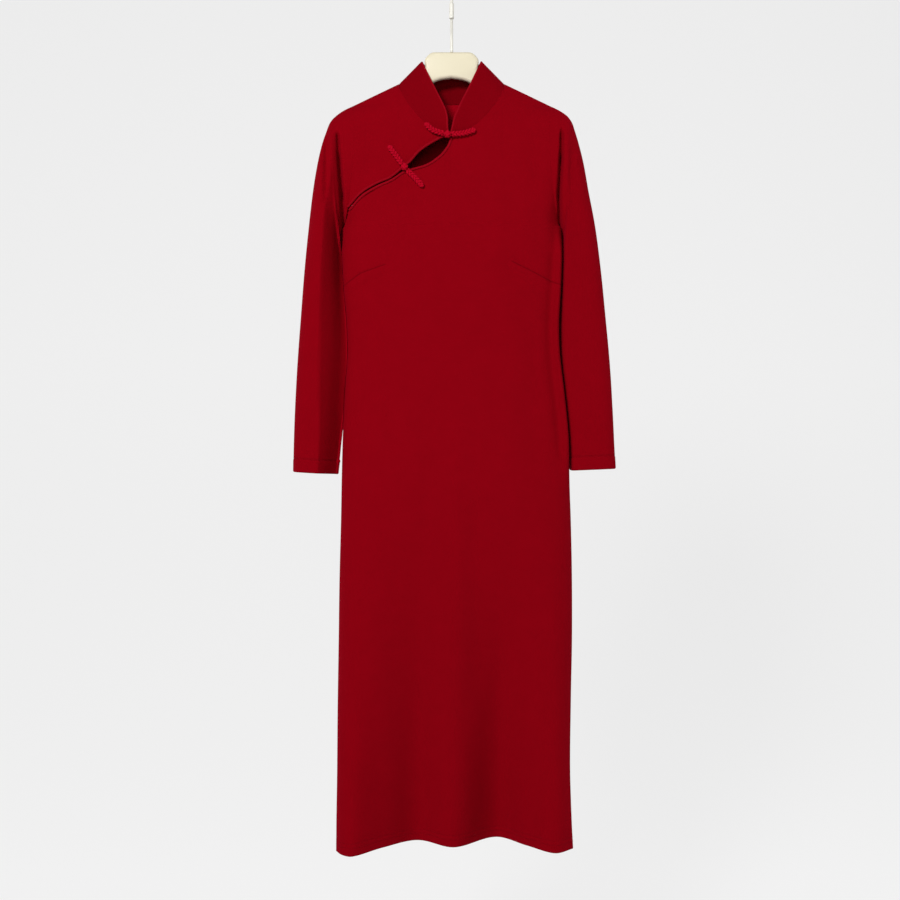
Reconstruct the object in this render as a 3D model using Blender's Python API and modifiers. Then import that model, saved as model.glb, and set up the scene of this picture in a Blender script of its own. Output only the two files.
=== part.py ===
# A long knitted qipao of fine wool, hanging on a board hanger.
# Metres, +Z up. The front faces -Y, so the wearer's right side is -X.
# The origin is the inside top of the hanger's hook, where a rail would carry it.

import math
from collections import namedtuple

import bmesh
import bpy
from mathutils import Vector

for old in list(bpy.data.objects):
    bpy.data.objects.remove(old)

# Cloth and seams
WALL = 0.0020           # fine knit with its nap
COLLAR_WALL = 0.0030    # folded double
SEAM = 0.0003           # pieces stay this far apart
FRONT, BACK = -1, 1

# Levels and lengths
HEM_Z = -1.382
SLIT_TOP_Z = -1.000
FOLD_TOP_Z = -0.800
SHOULDER_X, SHOULDER_Z = 0.164, -0.181
ARMPIT_X, ARMPIT_Z = 0.178, -0.380
NECK_X, NECK_Z = 0.086, -0.144
FRONT_NECK_DROP = 0.0935
BACK_NECK_DROP = 0.025
FRONT_NECK_ROUND = 1.5
BACK_NECK_ROUND = 2.2
NECK_CENTRE_X = -0.004  # the opening starts a little to the wearer's right

# How the cloth stands forward of the hanger's plane
FULL_DEPTH = 0.060
FRONT_ROLL = 0.010      # radius of the roll over the hanger's arm
BACK_ROLL = 0.012
SIDE_ROUND = 2.5        # how square the body's side turns are
CHEST_BLEND_TOP_Z = -0.290
CHEST_BLEND_DEPTH = 0.130
ARMHOLE_BOW = 0.012
ARMHOLE_DEPTH = 0.030
UNDERARM_FADE = 0.180

# Mesh density
BODY_ROWS = 20
TOP_ROWS = 8
RING_POINTS = 2 * TOP_ROWS
YOKE_ROWS = 7
COLLAR_ROWS = 4

Section = namedtuple("Section", "z left right front back")
SECTIONS = [
    Section(-1.382, -0.1850, 0.1960, 0.050, 0.048),
    Section(-1.330, -0.1850, 0.1935, 0.050, 0.048),
    Section(-1.250, -0.1842, 0.1915, 0.050, 0.048),
    Section(-1.150, -0.1845, 0.1935, 0.050, 0.048),
    Section(-1.050, -0.1838, 0.1960, 0.050, 0.048),
    Section(-0.950, -0.1825, 0.1960, 0.051, 0.049),
    Section(-0.850, -0.1800, 0.1940, 0.050, 0.048),
    Section(-0.780, -0.1788, 0.1912, 0.049, 0.047),
    Section(-0.707, -0.1768, 0.1880, 0.046, 0.044),
    Section(-0.642, -0.1735, 0.1815, 0.043, 0.041),
    Section(-0.585, -0.1695, 0.1750, 0.042, 0.040),
    Section(-0.535, -0.1705, 0.1735, 0.042, 0.040),
    Section(-0.479, -0.1755, 0.1765, 0.044, 0.042),
    Section(-0.414, -0.1785, 0.1790, 0.046, 0.044),
    Section(-0.380, -0.1780, 0.1780, 0.046, 0.045),
]

# The hem's plan, where the skirt swings forward and back between its slits
Fold = namedtuple("Fold", "x y")
FRONT_FOLDS = [
    Fold(-0.190, -0.022), Fold(-0.176, -0.046), Fold(-0.156, -0.054),
    Fold(-0.112, -0.016), Fold(-0.062, 0.018), Fold(0.008, -0.018),
    Fold(0.068, 0.036), Fold(0.120, -0.006), Fold(0.165, -0.040), Fold(0.200, -0.016),
]
BACK_FOLDS = [
    Fold(-0.190, 0.004), Fold(-0.158, 0.040), Fold(-0.118, 0.054), Fold(-0.042, 0.034),
    Fold(0.058, 0.066), Fold(0.122, 0.042), Fold(0.160, 0.046), Fold(0.200, 0.006),
]

# Sleeve rings, from the armhole to the cuff: outer and inner edge seen from the front, depth in
# front beside the body and further out, depth behind, sideways bow, crease, squareness
Ring = namedtuple("Ring", "out_x out_z in_x in_z front outer back bow crease shape")
SLOPE_IN, SLOPE_OUT = -0.88, 0.10   # where the front comes forward to its ridge, across a ring
HEAD_RINGS = [
    Ring(0.1640, -0.181, 0.1780, -0.380, 0.030, 0.030, 0.030, 0.012, 0.00, 2.0),
    Ring(0.1720, -0.185, 0.1800, -0.384, 0.031, 0.031, 0.031, 0.008, 0.18, 2.1),
    Ring(0.1800, -0.190, 0.1812, -0.389, 0.032, 0.032, 0.032, 0.004, 0.42, 2.2),
    Ring(0.1885, -0.197, 0.1818, -0.395, 0.034, 0.032, 0.034, 0.000, 0.52, 2.3),
]
RIGHT_ARM_RINGS = [
    Ring(0.1965, -0.206, 0.1818, -0.403, 0.032, 0.034, 0.037, 0.0, 0.34, 2.4),
    Ring(0.2025, -0.219, 0.1812, -0.413, 0.027, 0.037, 0.041, 0.0, 0.16, 2.5),
    Ring(0.2095, -0.243, 0.1806, -0.427, 0.021, 0.040, 0.044, 0.0, 0.06, 2.6),
    Ring(0.2170, -0.277, 0.1800, -0.448, 0.017, 0.041, 0.045, 0.0, 0.00, 2.7),
    Ring(0.2240, -0.320, 0.1790, -0.476, 0.014, 0.041, 0.044, 0.0, 0.00, 2.8),
    Ring(0.2310, -0.378, 0.1770, -0.508, 0.012, 0.040, 0.042, 0.0, 0.00, 2.8),
    Ring(0.2380, -0.446, 0.1745, -0.545, 0.012, 0.038, 0.039, 0.0, 0.00, 2.8),
    Ring(0.2440, -0.520, 0.1735, -0.590, 0.012, 0.036, 0.036, 0.0, 0.00, 2.8),
    Ring(0.2500, -0.600, 0.1760, -0.642, 0.013, 0.034, 0.032, 0.0, 0.00, 2.8),
    Ring(0.2540, -0.672, 0.1790, -0.694, 0.013, 0.032, 0.029, 0.0, 0.00, 2.8),
    Ring(0.2562, -0.732, 0.1830, -0.742, 0.014, 0.030, 0.027, 0.0, 0.00, 2.8),
    Ring(0.2570, -0.774, 0.1870, -0.778, 0.014, 0.028, 0.025, 0.0, 0.00, 2.8),
]
LEFT_ARM_RINGS = [
    Ring(0.1955, -0.207, 0.1818, -0.403, 0.034, 0.031, 0.038, 0.0, 0.36, 2.4),
    Ring(0.1995, -0.219, 0.1814, -0.413, 0.034, 0.031, 0.041, 0.0, 0.20, 2.6),
    Ring(0.2065, -0.243, 0.1808, -0.427, 0.033, 0.032, 0.044, 0.0, 0.08, 2.8),
    Ring(0.2145, -0.277, 0.1805, -0.448, 0.032, 0.033, 0.046, 0.0, 0.00, 3.0),
    Ring(0.2220, -0.320, 0.1798, -0.476, 0.030, 0.034, 0.046, 0.0, 0.00, 3.1),
    Ring(0.2330, -0.378, 0.1785, -0.508, 0.028, 0.034, 0.044, 0.0, 0.00, 3.1),
    Ring(0.2420, -0.446, 0.1775, -0.545, 0.027, 0.033, 0.041, 0.0, 0.00, 3.1),
    Ring(0.2495, -0.520, 0.1785, -0.590, 0.026, 0.032, 0.037, 0.0, 0.00, 3.1),
    Ring(0.2570, -0.600, 0.1840, -0.642, 0.025, 0.030, 0.034, 0.0, 0.00, 3.1),
    Ring(0.2615, -0.672, 0.1895, -0.694, 0.024, 0.028, 0.031, 0.0, 0.00, 3.1),
    Ring(0.2645, -0.732, 0.1928, -0.738, 0.023, 0.026, 0.028, 0.0, 0.00, 3.1),
    Ring(0.2665, -0.769, 0.1945, -0.772, 0.022, 0.024, 0.026, 0.0, 0.00, 3.1),
]

# The two edges of the diagonal opening, from the neck to the wearer's right armhole
Edge = namedtuple("Edge", "x z")
UPPER_EDGE = [
    Edge(-0.0075, -0.2385), Edge(-0.0180, -0.2417), Edge(-0.0490, -0.2609),
    Edge(-0.0665, -0.2801), Edge(-0.0745, -0.2865), Edge(-0.0968, -0.3048),
    Edge(-0.1176, -0.3136), Edge(-0.1431, -0.3280), Edge(-0.1620, -0.3460),
]
LOWER_EDGE = [
    Edge(-0.0025, -0.2410), Edge(-0.0040, -0.2475), Edge(-0.0085, -0.2565),
    Edge(-0.0186, -0.2689), Edge(-0.0393, -0.2832), Edge(-0.0601, -0.2896),
    Edge(-0.0765, -0.2946), Edge(-0.0968, -0.3078), Edge(-0.1176, -0.3168),
    Edge(-0.1431, -0.3312), Edge(-0.1625, -0.3500),
]
BINDING_R = 0.0016      # rolled edge of the opening

# The collar's upper edge: half of it, by the place on the neckline below it
Top = namedtuple("Top", "base_x x y z")
COLLAR_FRONT_TOP = [
    Top(0.0030, 0.0034, -0.0350, -0.2325), Top(0.0120, 0.0052, -0.0335, -0.2170),
    Top(0.0220, 0.0070, -0.0315, -0.2045), Top(0.0350, 0.0130, -0.0285, -0.1880),
    Top(0.0500, 0.0215, -0.0230, -0.1690), Top(0.0660, 0.0315, -0.0160, -0.1475),
    Top(0.0780, 0.0410, -0.0090, -0.1260), Top(0.0860, 0.0495, -0.0003, -0.1070),
]
COLLAR_BACK_Y = 0.024
COLLAR_BACK_Z = -0.115
COLLAR_SEAM = 0.0006

# Knot buttons: cord and knot sizes, and the places of the cord's ends
CORD_R = 0.0036
KNOT_R = 0.0050
Spot = namedtuple("Spot", "x z")
NECK_FROG = {
    "knot": Spot(-0.0066, -0.2372),
    "upper": [Spot(-0.0405, -0.2195), Spot(-0.0300, -0.2290), Spot(-0.0140, -0.2352)],
    "lower": [Spot(0.0352, -0.2290), Spot(0.0190, -0.2344), Spot(0.0008, -0.2365)],
}
CHEST_FROG = {
    "knot": Spot(-0.0764, -0.2856),
    "upper": [Spot(-0.0990, -0.2560), Spot(-0.0900, -0.2680), Spot(-0.0808, -0.2800)],
    "lower": [Spot(-0.0475, -0.3185), Spot(-0.0600, -0.3045), Spot(-0.0718, -0.2912)],
}

# Hanger
BOARD_HALF = 0.0055     # half its thickness
BOARD_EDGE_R = 0.0050
BOARD_DROP = 0.0060     # from the shoulder seam down to the arm's rounded top
BOARD_TOP_Z = -0.092
WIRE_R = 0.0025
HOOK_R = 0.0245         # centreline radius of the hook
TIP_R = 0.0038
TIP_LENGTH = 0.024
STEM_TOP_Z = -0.066
BOARD_NECK = [
    Spot(0.0330, -0.0920), Spot(0.0405, -0.0950), Spot(0.0440, -0.1020),
    Spot(0.0425, -0.1120), Spot(0.0435, -0.1240), Spot(0.0530, -0.1385),
    Spot(0.0660, -0.1500), Spot(0.0820, -0.1575),
]
BOARD_ARM_X = (0.0980, 0.1200, 0.1420, 0.1640)
BOARD_END = [
    Spot(0.1750, -0.1930), Spot(0.1840, -0.2010), Spot(0.1862, -0.2075),
    Spot(0.1845, -0.2140), Spot(0.1770, -0.2160), Spot(0.1600, -0.2105),
    Spot(0.1300, -0.1975), Spot(0.1000, -0.1850), Spot(0.0700, -0.1690),
    Spot(0.0420, -0.1490), Spot(0.0220, -0.1385), Spot(0.0000, -0.1345),
]

# Colours and finishes
WOOL = ((0.245, 0.004, 0.010, 1.0), 0.92)
CORD = ((0.330, 0.006, 0.022, 1.0), 0.80)
IVORY = ((0.800, 0.770, 0.660, 1.0), 0.35)
WHITE = ((0.850, 0.850, 0.830, 1.0), 0.30)

pieces = bpy.data.collections.new("qipao_on_hanger")
bpy.context.scene.collection.children.link(pieces)


# Reading the tables

def read(rows, key, column, at):
    """A smooth curve through one column of a table, whose key column rises."""
    rows = sorted(rows, key=lambda row: getattr(row, key))
    keys = [getattr(row, key) for row in rows]
    values = [getattr(row, column) for row in rows]
    if at <= keys[0]:
        return values[0]
    if at >= keys[-1]:
        return values[-1]
    i = max(k for k in range(len(keys) - 1) if keys[k] <= at)
    span = keys[i + 1] - keys[i]
    t = (at - keys[i]) / span

    def slope(k):
        low, high = max(k - 1, 0), min(k + 1, len(keys) - 1)
        return (values[high] - values[low]) / (keys[high] - keys[low])

    start, end = slope(i) * span, slope(i + 1) * span
    step = values[i + 1] - values[i]
    return values[i] + t * (start + t * (3 * step - 2 * start - end + t * (start + end - 2 * step)))


def ease(t):
    t = min(max(t, 0.0), 1.0)
    return t * t * (3 - 2 * t)


def spread(stops):
    """Values between stops: each stop is a value and the number of steps to the next."""
    values = []
    for (start, steps), (end, _) in zip(stops, stops[1:]):
        values += [start + (end - start) * i / steps for i in range(steps)]
    return values + [stops[-1][0]]


# The body's form

def shoulder_z(x):
    """The shoulder seam's height, carried on in a straight line over the neck."""
    slope = (NECK_Z - SHOULDER_Z) / (SHOULDER_X - NECK_X)
    return SHOULDER_Z + (SHOULDER_X - abs(x)) * slope


def neck_z(side, x):
    drop, bend = (FRONT_NECK_DROP, FRONT_NECK_ROUND) if side == FRONT else (BACK_NECK_DROP, BACK_NECK_ROUND)
    return NECK_Z - drop * (1 - min(abs(x) / NECK_X, 1.0) ** bend) ** (1 / bend)


def top_z(side, x):
    return shoulder_z(x) if abs(x) >= NECK_X else neck_z(side, x)


def armhole(z):
    """Half width and depth of the armhole seam at a height."""
    middle = (SHOULDER_Z + ARMPIT_Z) / 2
    up = min(max((z - middle) / (SHOULDER_Z - middle), -1.0), 1.0)
    bulge = math.sqrt(1 - up * up)
    x = (SHOULDER_X + ARMPIT_X) / 2 + (SHOULDER_X - ARMPIT_X) / 2 * up - ARMHOLE_BOW * bulge
    return x, ARMHOLE_DEPTH * bulge


def edges(z):
    """The panel's left and right edge at a height."""
    if z > ARMPIT_Z:
        half = armhole(z)[0]
        return -half, half
    return read(SECTIONS, "z", "left", z), read(SECTIONS, "z", "right", z)


def across(x, z):
    left, right = edges(z)
    return min(max((2 * x - left - right) / (right - left), -1.0), 1.0)


def seam_depth(part, z):
    """The armhole's depth at the panel's edge, fading smoothly past the armpit further in."""
    edge = armhole(z)[1] if z > ARMPIT_Z else 0.0
    middle = (SHOULDER_Z + ARMPIT_Z) / 2
    if z > middle:
        return edge
    inner = ARMHOLE_DEPTH * ease((z - middle + UNDERARM_FADE) / UNDERARM_FADE)
    return inner + (edge - inner) * abs(part) ** 10


def panel_point(side, part, z):
    """The outer point of the front or back panel, part running from -1 to 1 between its edges."""
    left, right = edges(z)
    x = (left + right) / 2 + (right - left) / 2 * part
    drop = max(shoulder_z(x) - z, 0.0)
    roll = FRONT_ROLL if side == FRONT else BACK_ROLL
    chest = FULL_DEPTH * (1 - math.exp(-math.sqrt(2 * roll * drop) / FULL_DEPTH))
    body = read(SECTIONS, "z", "front" if side == FRONT else "back", z)
    full = chest + (body - chest) * ease((CHEST_BLEND_TOP_Z - z) / CHEST_BLEND_DEPTH)
    seam = seam_depth(part, z)
    turn = (1 - abs(part) ** SIDE_ROUND) ** (1 / SIDE_ROUND)
    y = side * (seam + (full - seam) * turn)
    swing = max((FOLD_TOP_Z - z) / (FOLD_TOP_Z - HEM_Z), 0.0) ** 1.3
    closed = (1 - ease((SLIT_TOP_Z - z) / 0.25)) * abs(part) ** 12
    folds = FRONT_FOLDS if side == FRONT else BACK_FOLDS
    y += swing * (1 - closed) * (read(folds, "x", "y", x) - y)
    return Vector((x, y, z))


def front_y(x, z):
    return panel_point(FRONT, across(x, z), z).y


def even_columns(count):
    """Places from -1 to 1 at equal steps along a body section."""
    half, depth = ARMPIT_X, SECTIONS[-1].front
    fine = []
    for i in range(401):
        turn = math.pi * (i / 400 - 0.5)
        x = math.copysign(abs(math.sin(turn)) ** (2 / SIDE_ROUND), math.sin(turn))
        fine.append((x, half * x, depth * abs(math.cos(turn)) ** (2 / SIDE_ROUND)))
    run = [0.0]
    for a, b in zip(fine, fine[1:]):
        run.append(run[-1] + math.hypot(b[1] - a[1], b[2] - a[2]))
    places = []
    for k in range(count + 1):
        want = run[-1] * k / count
        i = min(max(j for j in range(401) if run[j] <= want + 1e-9), 399)
        share = (want - run[i]) / (run[i + 1] - run[i])
        places.append(fine[i][0] + (fine[i + 1][0] - fine[i][0]) * share)
    return places


# Making solids

def finish(name, data, look):
    """Puts a mesh or curve in the scene as one named piece with its own material."""
    colour, roughness = look
    material = bpy.data.materials.new(name)
    material.use_nodes = True
    shader = material.node_tree.nodes["Principled BSDF"]
    shader.inputs["Base Color"].default_value = colour
    shader.inputs["Roughness"].default_value = roughness
    data.materials.append(material)
    piece = bpy.data.objects.new(name, data)
    pieces.objects.link(piece)
    return piece


def cloth(name, rows, hold, look=WOOL, wall=WALL, ring=False, flip=False):
    """A wall of cloth inside the surface through rows of points; hold keeps it on its side of the seams."""
    sheet = bmesh.new()
    grid = [[sheet.verts.new(point) for point in row] for row in rows]
    count = len(rows[0])
    for low, high in zip(grid, grid[1:]):
        for i in range(count if ring else count - 1):
            j = (i + 1) % count
            corners = (low[i], low[j], high[j], high[i])
            sheet.faces.new(corners[::-1] if flip else corners)
    mesh = bpy.data.meshes.new(name)
    sheet.to_mesh(mesh)
    sheet.free()
    piece = finish(name, mesh, look)
    thicken = piece.modifiers.new("wall", "SOLIDIFY")
    thicken.thickness = wall
    thicken.offset = -1
    bpy.context.view_layer.update()
    solid = bpy.data.meshes.new_from_object(piece.evaluated_get(bpy.context.evaluated_depsgraph_get()))
    piece.modifiers.clear()
    piece.data = solid
    for vertex in solid.vertices:
        vertex.co = hold(vertex.co)
    solid.shade_smooth()
    return piece


def tube(name, points, radius, look, sides=2):
    """A round cord or wire along a smooth route."""
    curve = bpy.data.curves.new(name, "CURVE")
    curve.dimensions = "3D"
    curve.bevel_depth = radius
    curve.bevel_resolution = sides
    curve.use_fill_caps = True
    line = curve.splines.new("POLY")
    line.points.add(len(points) - 1)
    for place, point in zip(line.points, points):
        place.co = (*point, 1.0)
    return finish(name, curve, look)


def smooth_route(points, step):
    """Even points on a smooth curve through a few places."""
    places = [Vector(p) for p in points]
    run = [0.0]
    for a, b in zip(places, places[1:]):
        run.append(run[-1] + (b - a).length)
    Knot = namedtuple("Knot", "run x y z")
    rows = [Knot(r, *p) for r, p in zip(run, places)]
    count = max(2, round(run[-1] / step))
    return [
        Vector([read(rows, "run", axis, run[-1] * i / count) for axis in "xyz"])
        for i in range(count + 1)
    ]


# Front, yoke and back

def offset_edge(edge, distance):
    """An opening edge moved sideways in the cloth: positive is up and to the wearer's right."""
    route = smooth_route([(place.x, 0.0, place.z) for place in edge], 0.004)
    moved = []
    for i, point in enumerate(route):
        along = (route[min(i + 1, len(route) - 1)] - route[max(i - 1, 0)]).normalized()
        moved.append(Edge(point.x + along.z * distance, point.z - along.x * distance))
    return moved


def z_on(edge, x):
    """Height of an edge at x, straight between its points and past its ends."""
    rows = sorted(edge)
    i = sum(1 for row in rows[1:-1] if row.x < x)
    a, b = rows[i], rows[i + 1]
    return a.z + (b.z - a.z) * (x - a.x) / (b.x - a.x)


def hold_panel(side):
    """Keeps a panel on its side of the side, shoulder and armhole seams."""
    def hold(point):
        if point.z > SLIT_TOP_Z - 0.08:
            point.y = side * max(side * point.y, SEAM / 2)
        if point.z > ARMPIT_Z:
            limit = armhole(point.z)[0] - SEAM / 2
            point.x = min(max(point.x, -limit), limit)
        return point
    return hold


def rows_between(side, bottoms, tops, count):
    """Rows from one boundary to another, closer together at both ends."""
    rows = []
    for j in range(count + 1):
        rise = (1 - math.cos(math.pi * j / count)) / 2
        row = []
        for (low_part, low_z), (x, high_z) in zip(bottoms, tops):
            part = low_part + (across(x, high_z) - low_part) * rise
            row.append(panel_point(side, part, low_z + (high_z - low_z) * rise))
        rows.append(row)
    return rows


def body_rows(side, top_stops, top_of):
    xs = spread(top_stops)
    columns = even_columns(len(xs) - 1)
    skirt = []
    for j in range(BODY_ROWS):
        z = HEM_Z + (ARMPIT_Z - HEM_Z) * j / BODY_ROWS
        skirt.append([panel_point(side, part, z) for part in columns])
    chest = rows_between(side, [(part, ARMPIT_Z) for part in columns], [(x, top_of(x)) for x in xs], TOP_ROWS)
    return skirt + chest


BOUND = 2 * BINDING_R + 2 * SEAM
YOKE_TIP_X = -0.0140
main_edge = offset_edge(LOWER_EDGE, -BOUND)
yoke_edge = offset_edge(UPPER_EDGE, BOUND)
MAIN_START_X = main_edge[0].x


def main_top(x):
    return top_z(FRONT, x) if x > MAIN_START_X else z_on(main_edge, x)


MAIN_STOPS = [
    (-0.1655, 9), (-0.0165, 1), (-0.0055, 1), (MAIN_START_X - 0.0006, 1),
    (MAIN_START_X + 0.0006, 6), (NECK_X, 6), (SHOULDER_X, 0),
]
BACK_STOPS = [(-SHOULDER_X, 6), (-NECK_X, 12), (NECK_X, 6), (SHOULDER_X, 0)]
cloth("front", body_rows(FRONT, MAIN_STOPS, main_top), hold_panel(FRONT))
cloth("back", body_rows(BACK, BACK_STOPS, lambda x: top_z(BACK, x)), hold_panel(BACK), flip=True)

yoke_low = []
for x in spread([(-0.1640, 4), (-0.1000, 6), (YOKE_TIP_X, 0)]):
    yoke_low.append((across(x, z_on(yoke_edge, x)), z_on(yoke_edge, x)))
yoke_high = [(x, top_z(FRONT, x)) for x in spread([(-SHOULDER_X, 4), (-NECK_X, 6), (YOKE_TIP_X, 0)])]
cloth("front_yoke", rows_between(FRONT, yoke_low, yoke_high, YOKE_ROWS), hold_panel(FRONT))


# Rolled edges of the opening

def on_front(x, z, out):
    return Vector((x, front_y(x, z) - out, z))


def binding(name, edge, side):
    route = [on_front(place.x, place.z, 0.0) for place in offset_edge(edge, side * BINDING_R)]
    tube(name, smooth_route(route, 0.008), BINDING_R, WOOL, sides=1)


binding("opening_binding_upper", UPPER_EDGE, 1)
binding("opening_binding_lower", LOWER_EDGE, -1)


# Sleeves

def sleeve(name, arm, rings):
    """A sleeve from the armhole loop to the cuff; arm is -1 on the wearer's right."""
    rows = []
    for ring in rings:
        row = []
        for j in range(RING_POINTS):
            turn = 2 * math.pi * j / RING_POINTS
            cosine, sine = math.cos(turn), math.sin(turn)
            up = math.copysign(abs(cosine) ** (2 / ring.shape), cosine)
            out = abs(sine) ** (2 / ring.shape)
            front = sine > 0
            crease = ring.crease * (1.0 if front else 0.7) * 2 * max(-cosine, 0.0) * abs(sine)
            slope = min(max((up - SLOPE_IN) / (SLOPE_OUT - SLOPE_IN), 0.0), 1.0)
            full = ring.front + (ring.outer - ring.front) * slope if front else ring.back
            depth = full * out * (1 - crease)
            x = (ring.out_x + ring.in_x) / 2 + (ring.out_x - ring.in_x) / 2 * up
            z = (ring.out_z + ring.in_z) / 2 + (ring.out_z - ring.in_z) / 2 * up
            x -= ring.bow * abs(sine)
            row.append(Vector((arm * x, -depth if front else depth, z)))
        rows.append(row)

    def hold(point):
        side = edges(point.z)[0 if arm < 0 else 1]
        clear = SEAM / 2 if point.z > ARMPIT_Z + 0.02 else 3 * SEAM
        point.x = arm * max(arm * point.x, abs(side) + clear)
        return point

    cloth(name, rows, hold, ring=True, flip=arm > 0)


sleeve("sleeve_wearer_right", -1, HEAD_RINGS + RIGHT_ARM_RINGS)
sleeve("sleeve_wearer_left", 1, HEAD_RINGS + LEFT_ARM_RINGS)


# Collar

def collar_column(side, x):
    """The collar's base and top point above one place on the neckline."""
    width = abs(x)
    shift = NECK_CENTRE_X * max(0.0, 1 - width / 0.030) if side == FRONT else 0.0
    z = neck_z(side, x + shift)
    base = panel_point(side, across(x + shift, z), z) if width < NECK_X else Vector((x, 0.0, NECK_Z))
    if side == FRONT:
        top = Vector([read(COLLAR_FRONT_TOP, "base_x", axis, width) for axis in "xyz"])
        top.x = math.copysign(top.x, x) + shift
        return base, top
    side_top = COLLAR_FRONT_TOP[-1]
    rise = math.sqrt(max(0.0, 1 - (width / NECK_X) ** 2))
    top_z = side_top.z + (COLLAR_BACK_Z - side_top.z) * rise
    return base, Vector((side_top.x * x / NECK_X, COLLAR_BACK_Y * rise, top_z))


def collar_columns():
    """Round the neck, from the wearer's right front end past the back to the left one."""
    right = spread([(-0.0030, 1), (-0.0080, 1), (YOKE_TIP_X, 6), (-NECK_X, 0)])
    back = spread([(-NECK_X, 12), (NECK_X, 0)])[1:-1]
    left = spread([(NECK_X, 5), (0.0150, 1), (0.0080, 1), (0.0030, 0)])
    columns = [collar_column(FRONT, x) for x in right]
    columns += [collar_column(BACK, x) for x in back]
    return columns + [collar_column(FRONT, x) for x in left]


def collar_rows():
    columns = collar_columns()
    rows = []
    for j in range(COLLAR_ROWS + 1):
        row = []
        for base, top in columns:
            up = (top - base).normalized()
            foot = base + up * COLLAR_SEAM
            row.append(foot + (top - foot) * (j / COLLAR_ROWS))
        rows.append(row)
    return rows


cloth("collar", collar_rows(), lambda point: point, wall=COLLAR_WALL, flip=True)


# Knot buttons

def frog(name, spots):
    knot = spots["knot"]
    ball = bmesh.new()
    bmesh.ops.create_uvsphere(ball, u_segments=12, v_segments=8, radius=KNOT_R)
    mesh = bpy.data.meshes.new(name + "_knot")
    ball.to_mesh(mesh)
    ball.free()
    mesh.shade_smooth()
    piece = finish(name + "_knot", mesh, CORD)
    piece.location = on_front(knot.x, knot.z, KNOT_R + BINDING_R + SEAM)
    for half, role in (("upper", "loop_cord"), ("lower", "knot_cord")):
        rise = (2 * SEAM, BINDING_R, BINDING_R + 3 * SEAM)
        route = [on_front(spot.x, spot.z, CORD_R + over) for spot, over in zip(spots[half], rise)]
        route[-1] = piece.location + (route[-1] - piece.location).normalized() * (KNOT_R + SEAM)
        tube(f"{name}_{role}", smooth_route(route, 0.004), CORD_R, CORD)


frog("neck_frog", NECK_FROG)
frog("chest_frog", CHEST_FROG)


# Hanger

def board():
    arm = [Spot(x, shoulder_z(x) - BOARD_DROP) for x in BOARD_ARM_X]
    right = [(spot.x, spot.z) for spot in BOARD_NECK + arm + BOARD_END]
    left = [(-x, z) for x, z in reversed(right[:-1])]
    outline = right + left
    curve = bpy.data.curves.new("hanger_board", "CURVE")
    curve.dimensions = "2D"
    curve.fill_mode = "BOTH"
    curve.extrude = BOARD_HALF - BOARD_EDGE_R
    curve.bevel_depth = BOARD_EDGE_R
    curve.bevel_resolution = 1
    curve.offset = -BOARD_EDGE_R
    line = curve.splines.new("POLY")
    line.points.add(len(outline) - 1)
    line.use_cyclic_u = True
    for place, (x, z) in zip(line.points, outline):
        place.co = (x, z, 0.0, 1.0)
    piece = finish("hanger_board", curve, IVORY)
    piece.rotation_euler = (math.pi / 2, 0.0, 0.0)


def hook():
    """The hook is turned edge on: its loop lies in the Y-Z plane and opens to the front."""
    centre_z = WIRE_R - HOOK_R
    stem = [(0.0, 0.0, BOARD_TOP_Z + SEAM), (0.0, 0.0, -0.080), (0.0, 0.001, STEM_TOP_Z), (0.0, 0.012, -0.050)]
    loop = []
    for i in range(10):
        turn = math.radians(-20 + 200 * i / 9)
        loop.append((0.0, HOOK_R * math.cos(turn), centre_z + HOOK_R * math.sin(turn)))
    tube("hanger_hook", smooth_route(stem + loop, 0.005), WIRE_R, WHITE)
    tip = [(0.0, -HOOK_R, centre_z - 2 * SEAM), (0.0, -HOOK_R, centre_z - TIP_LENGTH)]
    tube("hook_tip", tip, TIP_R, WHITE)


board()
hook()
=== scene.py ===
import math
from collections import namedtuple

import bmesh
import bpy
import numpy as np
from mathutils import Matrix, Vector


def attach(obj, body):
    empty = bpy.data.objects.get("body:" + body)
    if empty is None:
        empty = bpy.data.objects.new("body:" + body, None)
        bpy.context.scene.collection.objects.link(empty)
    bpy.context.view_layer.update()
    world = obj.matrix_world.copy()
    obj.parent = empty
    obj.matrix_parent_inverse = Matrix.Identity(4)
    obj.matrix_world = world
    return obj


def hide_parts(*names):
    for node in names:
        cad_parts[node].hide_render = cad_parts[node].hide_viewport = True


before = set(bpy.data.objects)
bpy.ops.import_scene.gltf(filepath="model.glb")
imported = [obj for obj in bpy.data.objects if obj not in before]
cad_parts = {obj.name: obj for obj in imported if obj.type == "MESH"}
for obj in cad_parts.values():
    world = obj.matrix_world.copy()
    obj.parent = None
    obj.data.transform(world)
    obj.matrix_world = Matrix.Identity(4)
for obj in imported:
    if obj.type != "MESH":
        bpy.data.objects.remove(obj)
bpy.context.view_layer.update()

# The room: a pale floor, with pale paper that sweeps up behind the hanging dress. A soft
# light stands in front, high and to the left, with weaker ones straight in front and to the
# right. The camera is level with the middle of the dress, 1.8 m in front of the hanger.
CAMERA_PLACE = (-0.0026, -1.800, -0.740)
CAMERA_LENS = 44.16
PAPER_COLOUR, PAPER_GLOW = (0.16, 0.16, 0.16, 1.0), 0.757
FLOOR_COLOUR = (0.72, 0.72, 0.72, 1.0)
ROOM_COLOUR, ROOM_SEEN, ROOM_LIGHT = (0.9, 0.9, 0.9, 1.0), 0.75, 0.11
FLOOR_Z, FLOOR_END_Y = -1.80, 0.70
SWEEP_START_Y, SWEEP_R, SWEEP_STEPS = 1.0, 1.4, 16
HALF_WIDTH, PAPER_TOP_Z, FLOOR_START_Y = 8.0, 4.0, -6.0

scene = bpy.context.scene
scene.view_settings.view_transform = "Standard"


def placed(name, data):
    """An object made of this data, linked into the scene."""
    thing = bpy.data.objects.new(name, data)
    scene.collection.objects.link(thing)
    return thing


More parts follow.
